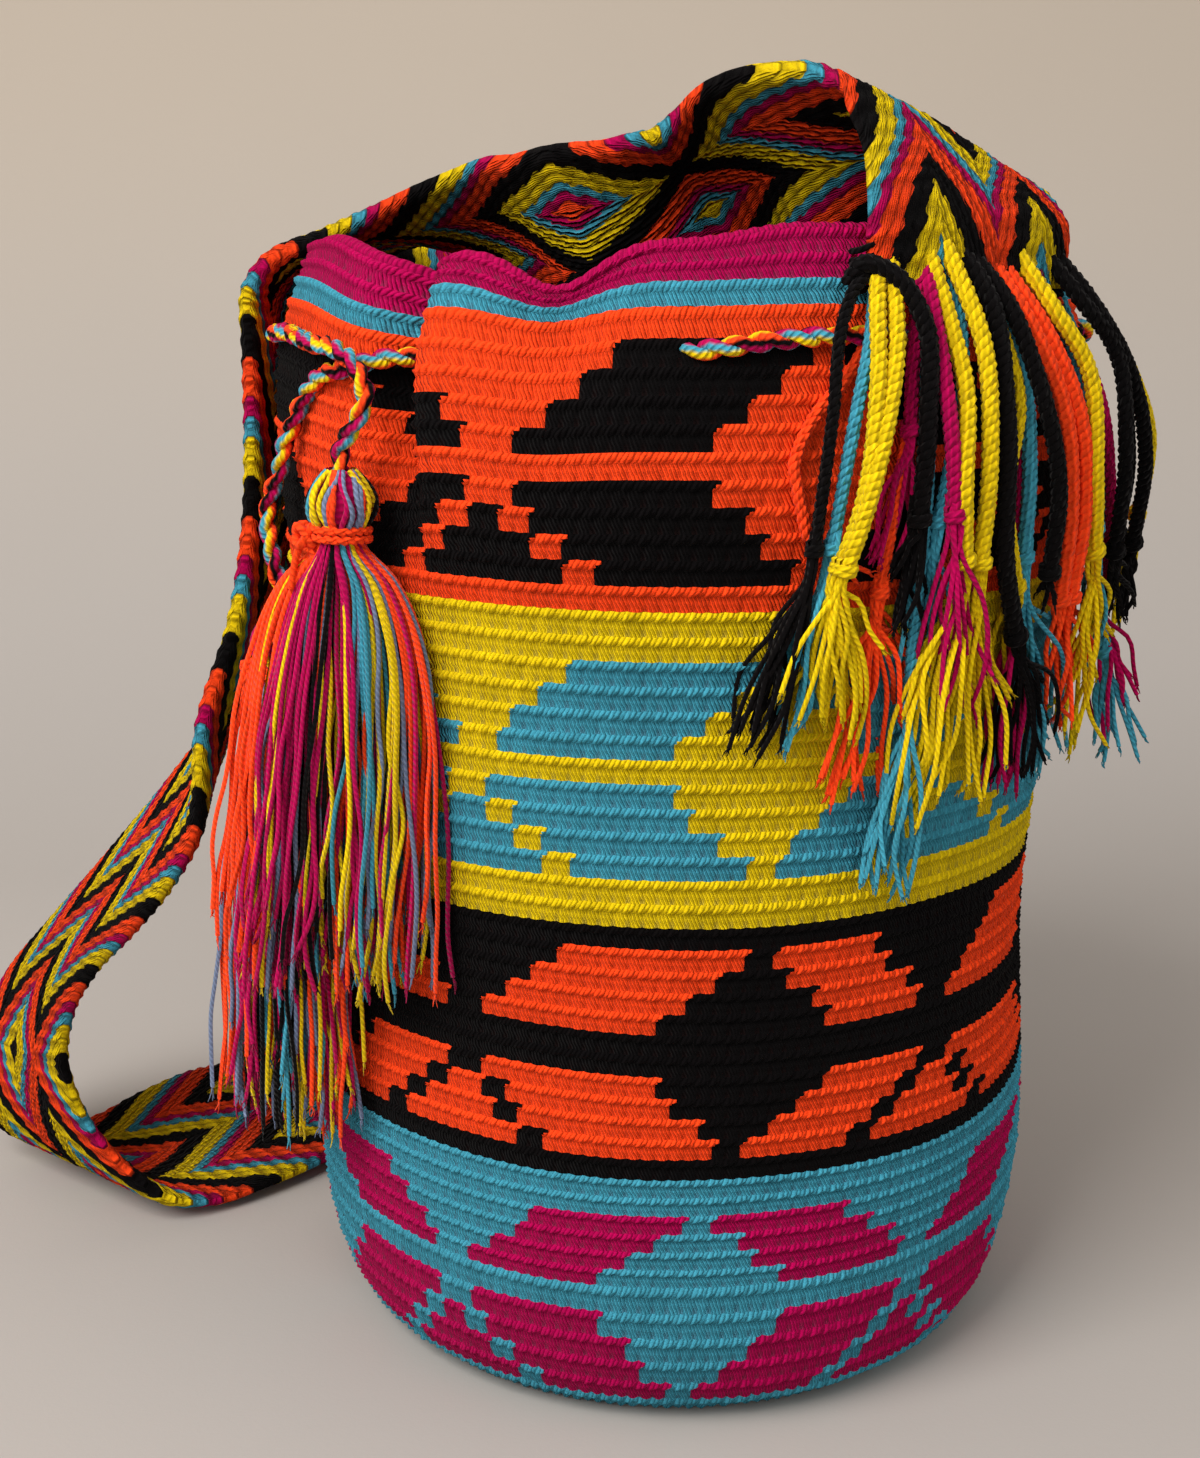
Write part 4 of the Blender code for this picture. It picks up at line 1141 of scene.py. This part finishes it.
# Front fringe: yarn, thickness, stops of angle, distance outside the wall and height in millimetres, and the
# places of its cut ends in the same way
FRONT_FRINGE = (
    ("black", 3.0, ((25, 4, 292), (22.8, 9, 292), (20.4, 9.5, 289), (18.5, 9, 282), (16.9, 8, 262), (15.6, 7, 232)), ((7.2, 5, 189), (8.6, 6, 189), (10.4, 7, 189), (9.5, 8, 188), (8.0, 8, 190))),
    ("blue", 3.2, ((24, 6, 290), (22.1, 8, 280), (19.6, 8, 262), (17.9, 6, 232)), ((12.1, 6, 191), (12.7, 7, 186), (14.7, 5, 194), (13.4, 8, 190))),
    ("yellow", 4.0, ((25.6, 7, 299), (22.8, 11, 289), (21.6, 11, 270), (20.0, 10, 240), (18.5, 9, 228)), ((13.0, 8, 198), (15.8, 9, 195), (19.0, 8, 193), (21.5, 7, 195), (22.7, 8, 189), (23.0, 9, 210))),
    ("yellow", 4.0, ((26.6, 7, 299), (24.9, 11, 289), (23.9, 12, 277), (22.2, 12, 259), (19.6, 12, 236), (18.7, 11, 228)), ((17.0, 9, 200), (20.0, 9, 192))),
    ("black", 4.4, ((20.6, 6, 290), (21.5, 11, 294), (24.4, 13, 292), (27.3, 13, 283), (28.0, 10, 262), (28.2, 8, 238)), ((24.5, 7, 228), (26.1, 9, 214), (28.8, 8, 213), (29.7, 6, 219), (27.0, 7, 216))),
    ("magenta", 3.4, ((30.6, 7, 297), (28.6, 8, 285), (27.4, 6, 270), (27.0, 6, 258)), ((23.3, 5, 232), (25.0, 6, 231), (27.3, 5, 235), (26.2, 6, 230))),
    ("orange", 3.2, ((29, 4, 284), (27.5, 5, 262), (25.6, 5, 240), (25.0, 5, 221)), ((21.1, 4, 173), (19.6, 5, 174), (23.0, 5, 176), (27.4, 4, 171), (31.6, 4, 186), (30.6, 5, 203))),
    ("orange", 3.0, ((22, 4, 276), (19.0, 3.4, 268), (16.8, 3.2, 264), (14.2, 3.0, 256), (13.3, 3.0, 250), (13.7, 3.0, 246), (14.6, 3.2, 239), (15.5, 3.4, 234), (17.4, 3.6, 231), (20, 4, 228)), ((21, 4, 226),)),
    ("magenta", 3.8, ((31.6, 7, 299), (30.0, 10, 287), (29.9, 11, 270), (31.3, 11, 248), (31.9, 11, 239)), ((31.8, 9, 200), (34.5, 9, 196), (36.9, 8, 194), (38.4, 9, 192), (40.3, 10, 197))),
    ("blue", 3.2, ((33.4, 7, 300), (34.4, 8, 287), (34.2, 8, 276), (32.8, 8, 260), (31.3, 7, 237)), ((31.0, 5, 205), (33.0, 5, 199), (35.0, 5, 204))),
    ("yellow", 4.2, ((32.6, 7, 304), (33.9, 12, 292), (35.0, 13, 278), (35.9, 12, 252), (36.8, 11, 227)), ((40.7, 9, 169), (41.2, 10, 178), (44.0, 9, 193), (38.3, 9, 171))),
    ("yellow", 4.2, ((31.6, 7, 303), (32.0, 10, 282), (32.7, 11, 268), (32.5, 12, 245), (34.2, 11, 228)), ((29.3, 8, 188), (28.0, 7, 168), (30.0, 8, 166), (31.6, 9, 169), (33.6, 8, 172))),
    ("black", 4.6, ((35.8, 8, 299), (37.7, 12, 288), (38.3, 12, 261), (41.3, 11, 225), (46.0, 10, 207)), ((60.0, 8, 176), (56.0, 9, 172), (53.7, 8, 170), (50.5, 10, 172), (45.1, 8, 173))),
    ("yellow", 3.4, ((42, 6, 286), (40.5, 9, 280), (42.2, 9, 264), (41.3, 8, 243), (46.2, 8, 219)), ((51.0, 6, 199), (49.0, 6, 192))),
    ("black", 4.2, ((37.8, 8, 298), (40.2, 13, 286), (43.1, 13, 269), (48.0, 13, 242), (50.0, 12, 222)), ((49.5, 11, 216), (51.2, 12, 216))),
    ("blue", 3.8, ((45, 4, 286), (44.6, 7, 268), (45.2, 8, 248), (46.8, 8, 226)), ((56.3, 7, 169), (61.0, 8, 167), (68.0, 9, 166), (66.0, 8, 180), (58.0, 9, 175))),
    ("orange", 4.6, ((42.8, 7, 297), (44.6, 11, 280), (48.8, 11, 264), (53.2, 11, 236), (54.8, 11, 214)), ((62.3, 10, 190), (66.0, 10, 182), (58.0, 9, 188))),
    ("orange", 4.6, ((44.5, 7, 297), (47.4, 11, 279), (51.6, 12, 262), (56.0, 12, 236), (56.8, 12, 214)), ((64.0, 11, 196), (60.0, 11, 180))),
    ("yellow", 4.2, ((47.6, 7, 301), (48.6, 13, 285), (53.0, 14, 271), (56.0, 14, 243), (60.0, 14, 225)), ((59.5, 12, 183), (64.0, 13, 176), (70.0, 14, 170), (74.0, 15, 189), (71.0, 14, 198))),
    ("blue", 3.4, ((50.0, 7, 296), (52.5, 10, 280), (57.0, 11, 258), (62.0, 12, 230)), ((66.0, 12, 200), (69.0, 12, 192))),
    ("black", 4.0, ((54, 7, 300), (56.0, 13, 287), (62.1, 15, 272), (63.0, 16, 250), (67.1, 16, 223)), ((73.0, 17, 206), (76.2, 18, 208), (70.0, 16, 210), (74.0, 16, 213))),
    ("black", 4.0, ((57, 7, 300), (58.6, 14, 286), (65.2, 16, 268), (72.2, 18, 246), (78.4, 19, 222)), ((81.0, 19, 205), (77.0, 18, 203), (84.0, 19, 210), (79.0, 18, 207))),
    ("yellow", 3.6, ((56.2, 8, 297), (62.3, 14, 278), (70.5, 17, 260), (79.7, 19, 244), (84.5, 20, 228)), ((87.5, 20, 196), (85.5, 19, 204))),
    ("magenta", 3.0, ((58, 5, 286), (61.0, 10, 264), (66.3, 12, 239), (74.0, 14, 206)), ((75, 23, 181), (78, 26, 183), (74, 19, 173))),
    ("blue", 3.2, ((61, 5, 286), (66.0, 10, 250), (72.6, 12, 214), (74.0, 16, 194)), ((75, 20, 168), (73, 22, 172), (77, 28, 168), (72, 17, 174))),
    ("orange", 2.8, ((52, 4, 284), (53.5, 7, 256), (61.9, 9, 213)), ((68.0, 10, 187), (72.6, 11, 192))),
    ("magenta", 2.8, ((44, 3, 284), (45, 5, 250), (48.0, 6, 216)), ((49.0, 6, 172), (52.0, 6, 166), (47.0, 6, 168))),
    ("blue", 3.4, ((29, 6, 280), (29.5, 6, 250), (30.0, 6, 220), (30.0, 7, 194)), ((25.6, 6, 150), (28.2, 7, 146), (30.0, 6, 148), (32.4, 6, 151), (27.2, 6, 157), (31.0, 6, 147))),
    ("black", 3.2, ((61, 7, 296), (67, 12, 272), (73, 14, 246), (80, 15, 224)), ((84, 15, 206), (82, 15, 203))),
)


def fringe_point(angle, out, z):
    """Point of the fringe at an angle, a distance outside the wall and a height, both in millimetres."""
    height = z / 1000
    return polar(angle, float(wall_radius(height)) + out / 1000, height)


def cord_and_brush(cords, brushes, tint, thick, stops, ends, rng):
    """Twisted cord down to a knot, and its yarns loose below it."""
    tint = np.array(tint)
    line = [Vector(stop) for stop in stops]
    cords.cord(line, thick / 2000, 0.0064, [tint, tint * 0.86, tint * 0.94], plies=3, sides=7, step=0.0009, grip=0.47)
    low = line[-1]
    heading = (line[-1] - line[-2]).normalized()
    for end in ends:
        for _ in range(3):
            target = Vector(end) + Vector(rng.normal(0, 0.0022, 3))
            span = (target - low).length
            bow = Vector(rng.normal(0, 0.07 * span, 3))
            begin = low + Vector(rng.normal(0, thick / 6000, 3))
            curl = Vector(rng.normal(0, 0.035 * span, 3))
            route = [
                begin - heading * 0.004,
                begin + heading * 0.15 * span,
                low.lerp(target, 0.45) + bow * 0.6,
                low.lerp(target, 0.75) + bow * 0.3 + curl,
                target,
            ]
            smooth, _ = resample(route, 0.0026)
            brushes.tube(smooth, np.linspace(0.00068, 0.0006, len(smooth)), 5, tint * rng.uniform(0.88, 1.08))
            fray(brushes, smooth[-1], Vector(smooth[-1]) - Vector(smooth[-2]), tint, 3, 0.0026)
    # The knot, three tight turns round the cord's end
    side = heading.orthogonal().normalized()
    other = heading.cross(side)
    turns = []
    for t in np.linspace(0, 2.4, 34):
        turned = 2 * pi * t
        turns.append(low + heading * (0.0012 * (t - 1.2)) + (side * cos(turned) + other * sin(turned)) * thick / 2000 * 0.95)
    cords.tube(resample(turns, 0.0010)[0], 0.00095, 6, tint * 0.95)


def build_front_fringe(look, thread):
    rng = np.random.default_rng(11)
    cords, brushes = Yarns(), Yarns()
    for yarn, thick, stops, ends in FRONT_FRINGE:
        first, out, up = stops[0]
        if up >= 295:
            # It leaves the weave along a chevron's leg
            side = 1 if first < 32 or 42 < first < 52 else -1
            stops = ((first + 1.6 * side, 3.0, up + 5.0), *stops)
        places = [fringe_point(*stop) for stop in stops]
        cord_and_brush(cords, brushes, YARNS[yarn], thick, places, [fringe_point(*end) for end in ends], rng)
    # The last woven row, a plait along the band's end
    for up, yarn in ((0.0, "black"), (-0.0018, "orange")):
        row = [
            by_seat(STRAP_FRONT_ANGLE + off, STRAP_THICKNESS * 0.5 + 0.0008, BAG_HEIGHT - STRAP_LAP - 0.0012 + up)
            for off in np.linspace(-17.8, 17.8, 30)
        ]
        cords.cord(row, 0.0014, 0.006, [YARNS[yarn]], sides=6)
    return (
        cords.piece("strap_fringe_front_cords", look, "fringe_yarn", ("strap_fringe_front",)),
        brushes.piece("strap_fringe_front_ends", thread, "fringe_yarn", ("strap_fringe_front",)),
    )


def build_back_fringe(look, thread):
    rng = np.random.default_rng(23)
    cords, brushes = Yarns(), Yarns()
    order = ("black", "yellow", "blue", "magenta", "orange", "black", "yellow", "orange")
    count = 21
    low = BAG_HEIGHT - STRAP_LAP
    for i in range(count):
        share = i / (count - 1)
        angle = STRAP_BACK_ANGLE - 17.2 + 34.4 * share
        sway = -2.0 + 4.0 * share + rng.normal(0, 0.8)
        length = 0.048 + 0.014 * sin(2.4 * i + 1.0)
        out = STRAP_THICKNESS * 0.5 + 0.0009
        clear = float(wall_radius(CORD_HEIGHT)) + 3 * LACE_GAP + CORD_DIAMETER + 0.0018
        stops = [by_seat(angle, out - 0.001, low - 0.001), by_seat(angle, out, low - 0.004)]
        for down in (0.0085, 0.016, 0.03, length):
            z = low - down
            bare = float(wall_radius(z)) + 0.003
            stops.append(polar(angle + sway * down / 0.1, max(bare, clear - 0.06 * max(0, down - 0.016)), z + lift(angle, z)))
        ends = []
        for _ in range(4):
            drop = 0.030 + 0.012 * rng.random()
            z = low - length - drop
            ends.append(polar(angle + sway + rng.normal(0, 1.6), float(wall_radius(z)) + 0.003, z))
        cord_and_brush(cords, brushes, YARNS[order[i % 8]], 3.2, stops, ends, rng)
    return (
        cords.piece("strap_fringe_back_cords", look, "fringe_yarn", ("strap_fringe_back",)),
        brushes.piece("strap_fringe_back_ends", thread, "fringe_yarn", ("strap_fringe_back",)),
    )


def build_sewing(look):
    """Slanting stitches that hold the strap's ends to the wall, in an irregular hand."""
    rng = np.random.default_rng(31)
    yarns = Yarns()
    for middle in (STRAP_FRONT_ANGLE, STRAP_BACK_ANGLE):
        for side in (-1, 1):
            for k in range(5):
                z = BAG_HEIGHT - STRAP_LAP + 0.001 + k * 0.0022
                at = middle + side * (18.9 + rng.normal(0, 0.15))
                drop = rng.uniform(0.0012, 0.0026)
                stitch = [
                    by_seat(at + side * 1.1, -0.0022, z - drop),
                    by_seat(at + side * 0.8, 0.0010, z - drop * 0.8),
                    by_seat(at + side * 0.2, STRAP_THICKNESS * 0.55, z - drop * 0.4),
                    by_seat(at - side * 0.5, STRAP_THICKNESS * 0.75, z),
                    by_seat(at - side * 1.1, STRAP_THICKNESS * 0.45, z + drop * 0.3),
                ]
                yarns.tube(resample(stitch, 0.0008)[0], 0.00075, 6, YARNS["black"])
    return yarns.piece("strap_sewing", look, "fringe_yarn")


# Stage


def aim_camera():
    """The photograph's viewpoint: its height, distance, tilt, pan, roll and focal length in pixels."""
    image = (1200, 1458)
    height, away, aside = 0.295, 0.53, -0.0039
    pitch, pan, roll, focal = radians(14.0), radians(-1.8), radians(0.22), 1889.0
    forward = Vector((sin(pan) * cos(pitch), cos(pan) * cos(pitch), -sin(pitch)))
    right = Vector((cos(pan), -sin(pan), 0))
    up = right.cross(forward)
    level = right * cos(roll) + up * sin(roll)
    upright = up * cos(roll) - right * sin(roll)
    bpy.ops.object.camera_add()
    camera = bpy.context.object
    camera.name = "camera"
    camera.data.sensor_fit = "VERTICAL"
    camera.data.sensor_height = 24.0
    camera.data.lens = focal / image[1] * 24.0
    camera.data.clip_start = 0.01
    turned = Matrix((level, upright, -forward)).transposed().to_4x4()
    camera.matrix_world = Matrix.Translation((aside, -away, height)) @ turned
    bpy.context.scene.camera = camera


def build_sweep(floor_color, wall_color):
    """One sheet for floor and backdrop, with a wide curve between them."""
    profile = [(-3.0, 0.0), (0.35, 0.0)]
    profile += [(0.35 + 0.6 * sin(radians(t)), 0.6 - 0.6 * cos(radians(t))) for t in range(5, 91, 5)]
    profile += [(0.95, 3.2)]
    verts = [(x, y, z - 0.0017) for y, z in profile for x in (-3.5, 3.5)]
    mesh = bpy.data.meshes.new("backdrop")
    mesh.from_pydata(verts, [], [(2 * i, 2 * i + 1, 2 * i + 3, 2 * i + 2) for i in range(len(profile) - 1)])
    look = Yarn_look("backdrop_cloth", 0.95, 0.0)
    place = look.start.node("ShaderNodeTexCoord", out=3)
    height = Value(look.tree, place.node("ShaderNodeSeparateXYZ", i0=place).socket.node.outputs[2])
    rise = height.step(0.0, 0.5)
    color = rise.node(
        "ShaderNodeMix", {"data_type": "RGBA"}, out=2, i0=rise, i6=(*floor_color, 1), i7=(*wall_color, 1)
    )
    grain = look.noise(900.0)
    mesh.materials.append(look.finish(look.shade(color, 0.97 + look.noise(3.0) * 0.05), grain, 0.0002, 0.2))
    mesh.shade_smooth()
    sheet = bpy.data.objects.new("backdrop", mesh)
    bpy.context.scene.collection.objects.link(sheet)
    return sheet


class BagSizes(bpy.types.PropertyGroup):
    stitch_depth: FloatProperty(
        name="Stitch depth", description="How far the stitches stand out of the wall", default=0.0018, unit="LENGTH"
    )
    stitch_columns: IntProperty(name="Columns", description="Mesh columns in each stitch", default=6, min=2, max=8)
    stitch_levels: IntProperty(name="Levels", description="Mesh levels in each row", default=7, min=3, max=9)
    front_threads: IntProperty(name="Front tassel threads", description="Loose threads", default=285, min=20)
    back_threads: IntProperty(name="Back tassel threads", description="Loose threads", default=190, min=20)
    floor_color: FloatVectorProperty(
        name="Floor", description="Colour of the floor", default=linear(172, 167, 163), subtype="COLOR", size=3
    )
    wall_color: FloatVectorProperty(
        name="Backdrop", description="Colour of the backdrop", default=linear(184, 173, 160), subtype="COLOR", size=3
    )
    key_power: FloatProperty(name="Key light", description="Power of the key light", default=27.0, unit="POWER")
    fill_strength: FloatProperty(name="Fill", description="Strength of the world's light", default=0.80)


def yarn_color(name, red, green, blue):
    return FloatVectorProperty(
        name=name, description="Colour of this yarn", default=linear(red, green, blue), subtype="COLOR", size=3
    )


class BagYarns(bpy.types.PropertyGroup):
    orange: yarn_color("Orange", 250, 70, 24)
    magenta: yarn_color("Magenta", 174, 3, 78)
    blue: yarn_color("Blue", 64, 150, 174)
    yellow: yarn_color("Yellow", 226, 194, 12)
    black: yarn_color("Black", 6, 4, 5)
    grey: yarn_color("Grey", 112, 126, 156)
    peach: yarn_color("Peach", 244, 150, 104)


class BagOperator:
    bl_options = {"REGISTER", "UNDO"}

    @property
    def sizes(self):
        return bpy.context.scene.mochila

    def execute(self, context):
        for name in BagYarns.__annotations__:
            YARNS[name] = tuple(getattr(context.scene.mochila_yarns, name))
        before = len(bpy.data.objects)
        self.build(context)
        if len(bpy.data.objects) == before:
            raise RuntimeError(self.bl_label + " made no object")
        return {"FINISHED"}


class MOCHILA_OT_body(BagOperator, bpy.types.Operator):
    """Crocheted wall in its colour bands, the rim and the base"""

    bl_idname = "mochila.body"
    bl_label = "Crocheted body"

    def build(self, context):
        look = crochet_look()
        fine, tall, depth = self.sizes.stitch_columns, self.sizes.stitch_levels, self.sizes.stitch_depth
        replaced = ("bag_body",)
        crochet_wall("body_neck", FIRST_ROW, 4, fine, tall, depth, look, replaces=replaced)
        crochet_wall("body_band_orange", 4, 15, fine, tall, depth, look, replaces=replaced)
        crochet_wall("body_band_yellow", 15, 28, fine, tall, depth, look, replaces=replaced)
        crochet_wall("body_band_black", 28, 40, fine, tall, depth, look, replaces=replaced)
        crochet_wall("body_band_blue", 40, 53, fine, tall, depth, look, replaces=replaced)
        crochet_wall("body_inside", FIRST_ROW, 53, 2, 3, depth * 0.5, look, inner=True, replaces=replaced)
        build_rim(look)
        build_base(look)


class MOCHILA_OT_strap(BagOperator, bpy.types.Operator):
    """Woven strap with its fringes and the stitches that hold it"""

    bl_idname = "mochila.strap"
    bl_label = "Strap and fringes"

    def build(self, context):
        band, length = build_strap(weave_look())
        cord = thread_look("fringe_cord", 0.006, 3.0, 0.0003)
        loose = thread_look("fringe_thread", 0.004, 2.0, 0.0002)
        pieces = [*build_front_fringe(cord, loose), *build_back_fringe(cord, loose), build_sewing(loose)]


class MOCHILA_OT_drawstring(BagOperator, bpy.types.Operator):
    """Drawstring laced round the neck, its two free ends and their tassels"""

    bl_idname = "mochila.drawstring"
    bl_label = "Drawstring and tassels"

    def build(self, context):
        points = lace_route()
        look = thread_look("drawstring_yarn", 0.0035, 3.0, 0.0003)
        yarn = thread_look("tassel_yarn", 0.0034, 2.0, 0.00022, sheen=0.08, twist_shade=0.22)
        binding = thread_look("tie_yarn", 0.003, 2.0, 0.0003)
        front_out, back_out = 8, len(points) - 11
        # Each end runs on through its tassel's neck, in among the threads
        downs = (0.006, 0.014, 0.022, 0.032, 0.042, 0.052)
        in_front = [tassel_middle(points[0], FRONT_TASSEL[0], FRONT_TASSEL[2], down) for down in downs]
        # The back tassel hangs lower, behind the front one's threads
        slip = Vector((0.0035, -0.0075, -0.024))
        points[-1] = points[-1] + slip
        in_back = [tassel_middle(points[-1], BACK_TASSEL[0], BACK_TASSEL[2], down) for down in (*downs, 0.062, 0.072)]
        front = build_tassel("tassel_front", points[0], FRONT_TASSEL, self.sizes.front_threads, yarn, binding, 3)
        back = build_tassel("tassel_back", points[-1], BACK_TASSEL, self.sizes.back_threads, yarn, binding, 5)
        for name, run, tassel in (
            ("drawstring_laced", points[front_out : back_out + 1], None),
            ("drawstring_end_front", points[front_out::-1] + in_front, front),
            ("drawstring_end_back", points[back_out:] + in_back, back),
        ):
            yarns = Yarns()
            strand_cord(yarns, run, CORD_RADIUS * 0.96, 0.0118)
            piece = yarns.piece(name, look, "drawstring_yarn", ("drawstring",))
            if not tassel:
                continue
            line, along = resample(run, 0.001)


class MOCHILA_OT_stage(BagOperator, bpy.types.Operator):
    """Floor, backdrop, lights and camera"""

    bl_idname = "mochila.stage"
    bl_label = "Stage"

    def build(self, context):
        bpy.ops.object.select_all(action="DESELECT")
        build_sweep(tuple(self.sizes.floor_color), tuple(self.sizes.wall_color))
        for name, place, aim, size, power in (
            ("key", (-0.75, -0.95, 1.25), (0, 0, 0.15), 0.9, self.sizes.key_power),
            ("side", (1.3, -0.3, 0.7), (0, 0, 0.15), 1.0, self.sizes.key_power * 0.02),
        ):
            bpy.ops.object.light_add(type="AREA", location=place)
            lamp = context.object
            lamp.name = name
            lamp.data.size = size
            lamp.data.energy = power
            lamp.data.color = (1.0, 0.965, 0.92)
            lamp.rotation_euler = (Vector(place) - Vector(aim)).to_track_quat("Z", "Y").to_euler()
        world = bpy.data.worlds.new("room_light")
        world.use_nodes = True
        world.node_tree.nodes["Background"].inputs["Color"].default_value = (1.0, 0.975, 0.95, 1)
        world.node_tree.nodes["Background"].inputs["Strength"].default_value = self.sizes.fill_strength
        context.scene.world = world
        context.scene.view_settings.view_transform = "Standard"
        aim_camera()


class MOCHILA_PT_panel(bpy.types.Panel):
    bl_label = "Mochila"
    bl_idname = "MOCHILA_PT_panel"
    bl_space_type = "VIEW_3D"
    bl_region_type = "UI"
    bl_category = "Mochila"

    def draw(self, context):
        for group in (context.scene.mochila, context.scene.mochila_yarns):
            for name in type(group).__annotations__:
                self.layout.prop(group, name)
        for operator in OPERATORS:
            self.layout.operator(operator.bl_idname)


OPERATORS = (MOCHILA_OT_stage, MOCHILA_OT_drawstring, MOCHILA_OT_strap, MOCHILA_OT_body)
CLASSES = (BagSizes, BagYarns, *OPERATORS, MOCHILA_PT_panel)


def register():
    for cls in CLASSES:
        bpy.utils.register_class(cls)
    bpy.types.Scene.mochila = PointerProperty(type=BagSizes)
    bpy.types.Scene.mochila_yarns = PointerProperty(type=BagYarns)


def unregister():
    del bpy.types.Scene.mochila_yarns
    del bpy.types.Scene.mochila
    for cls in reversed(CLASSES):
        bpy.utils.unregister_class(cls)


def main():
    register()
    bpy.ops.mochila.stage()
    bpy.ops.mochila.drawstring()
    bpy.ops.mochila.strap()
    bpy.ops.mochila.body()


if __name__ == "__main__":
    main()
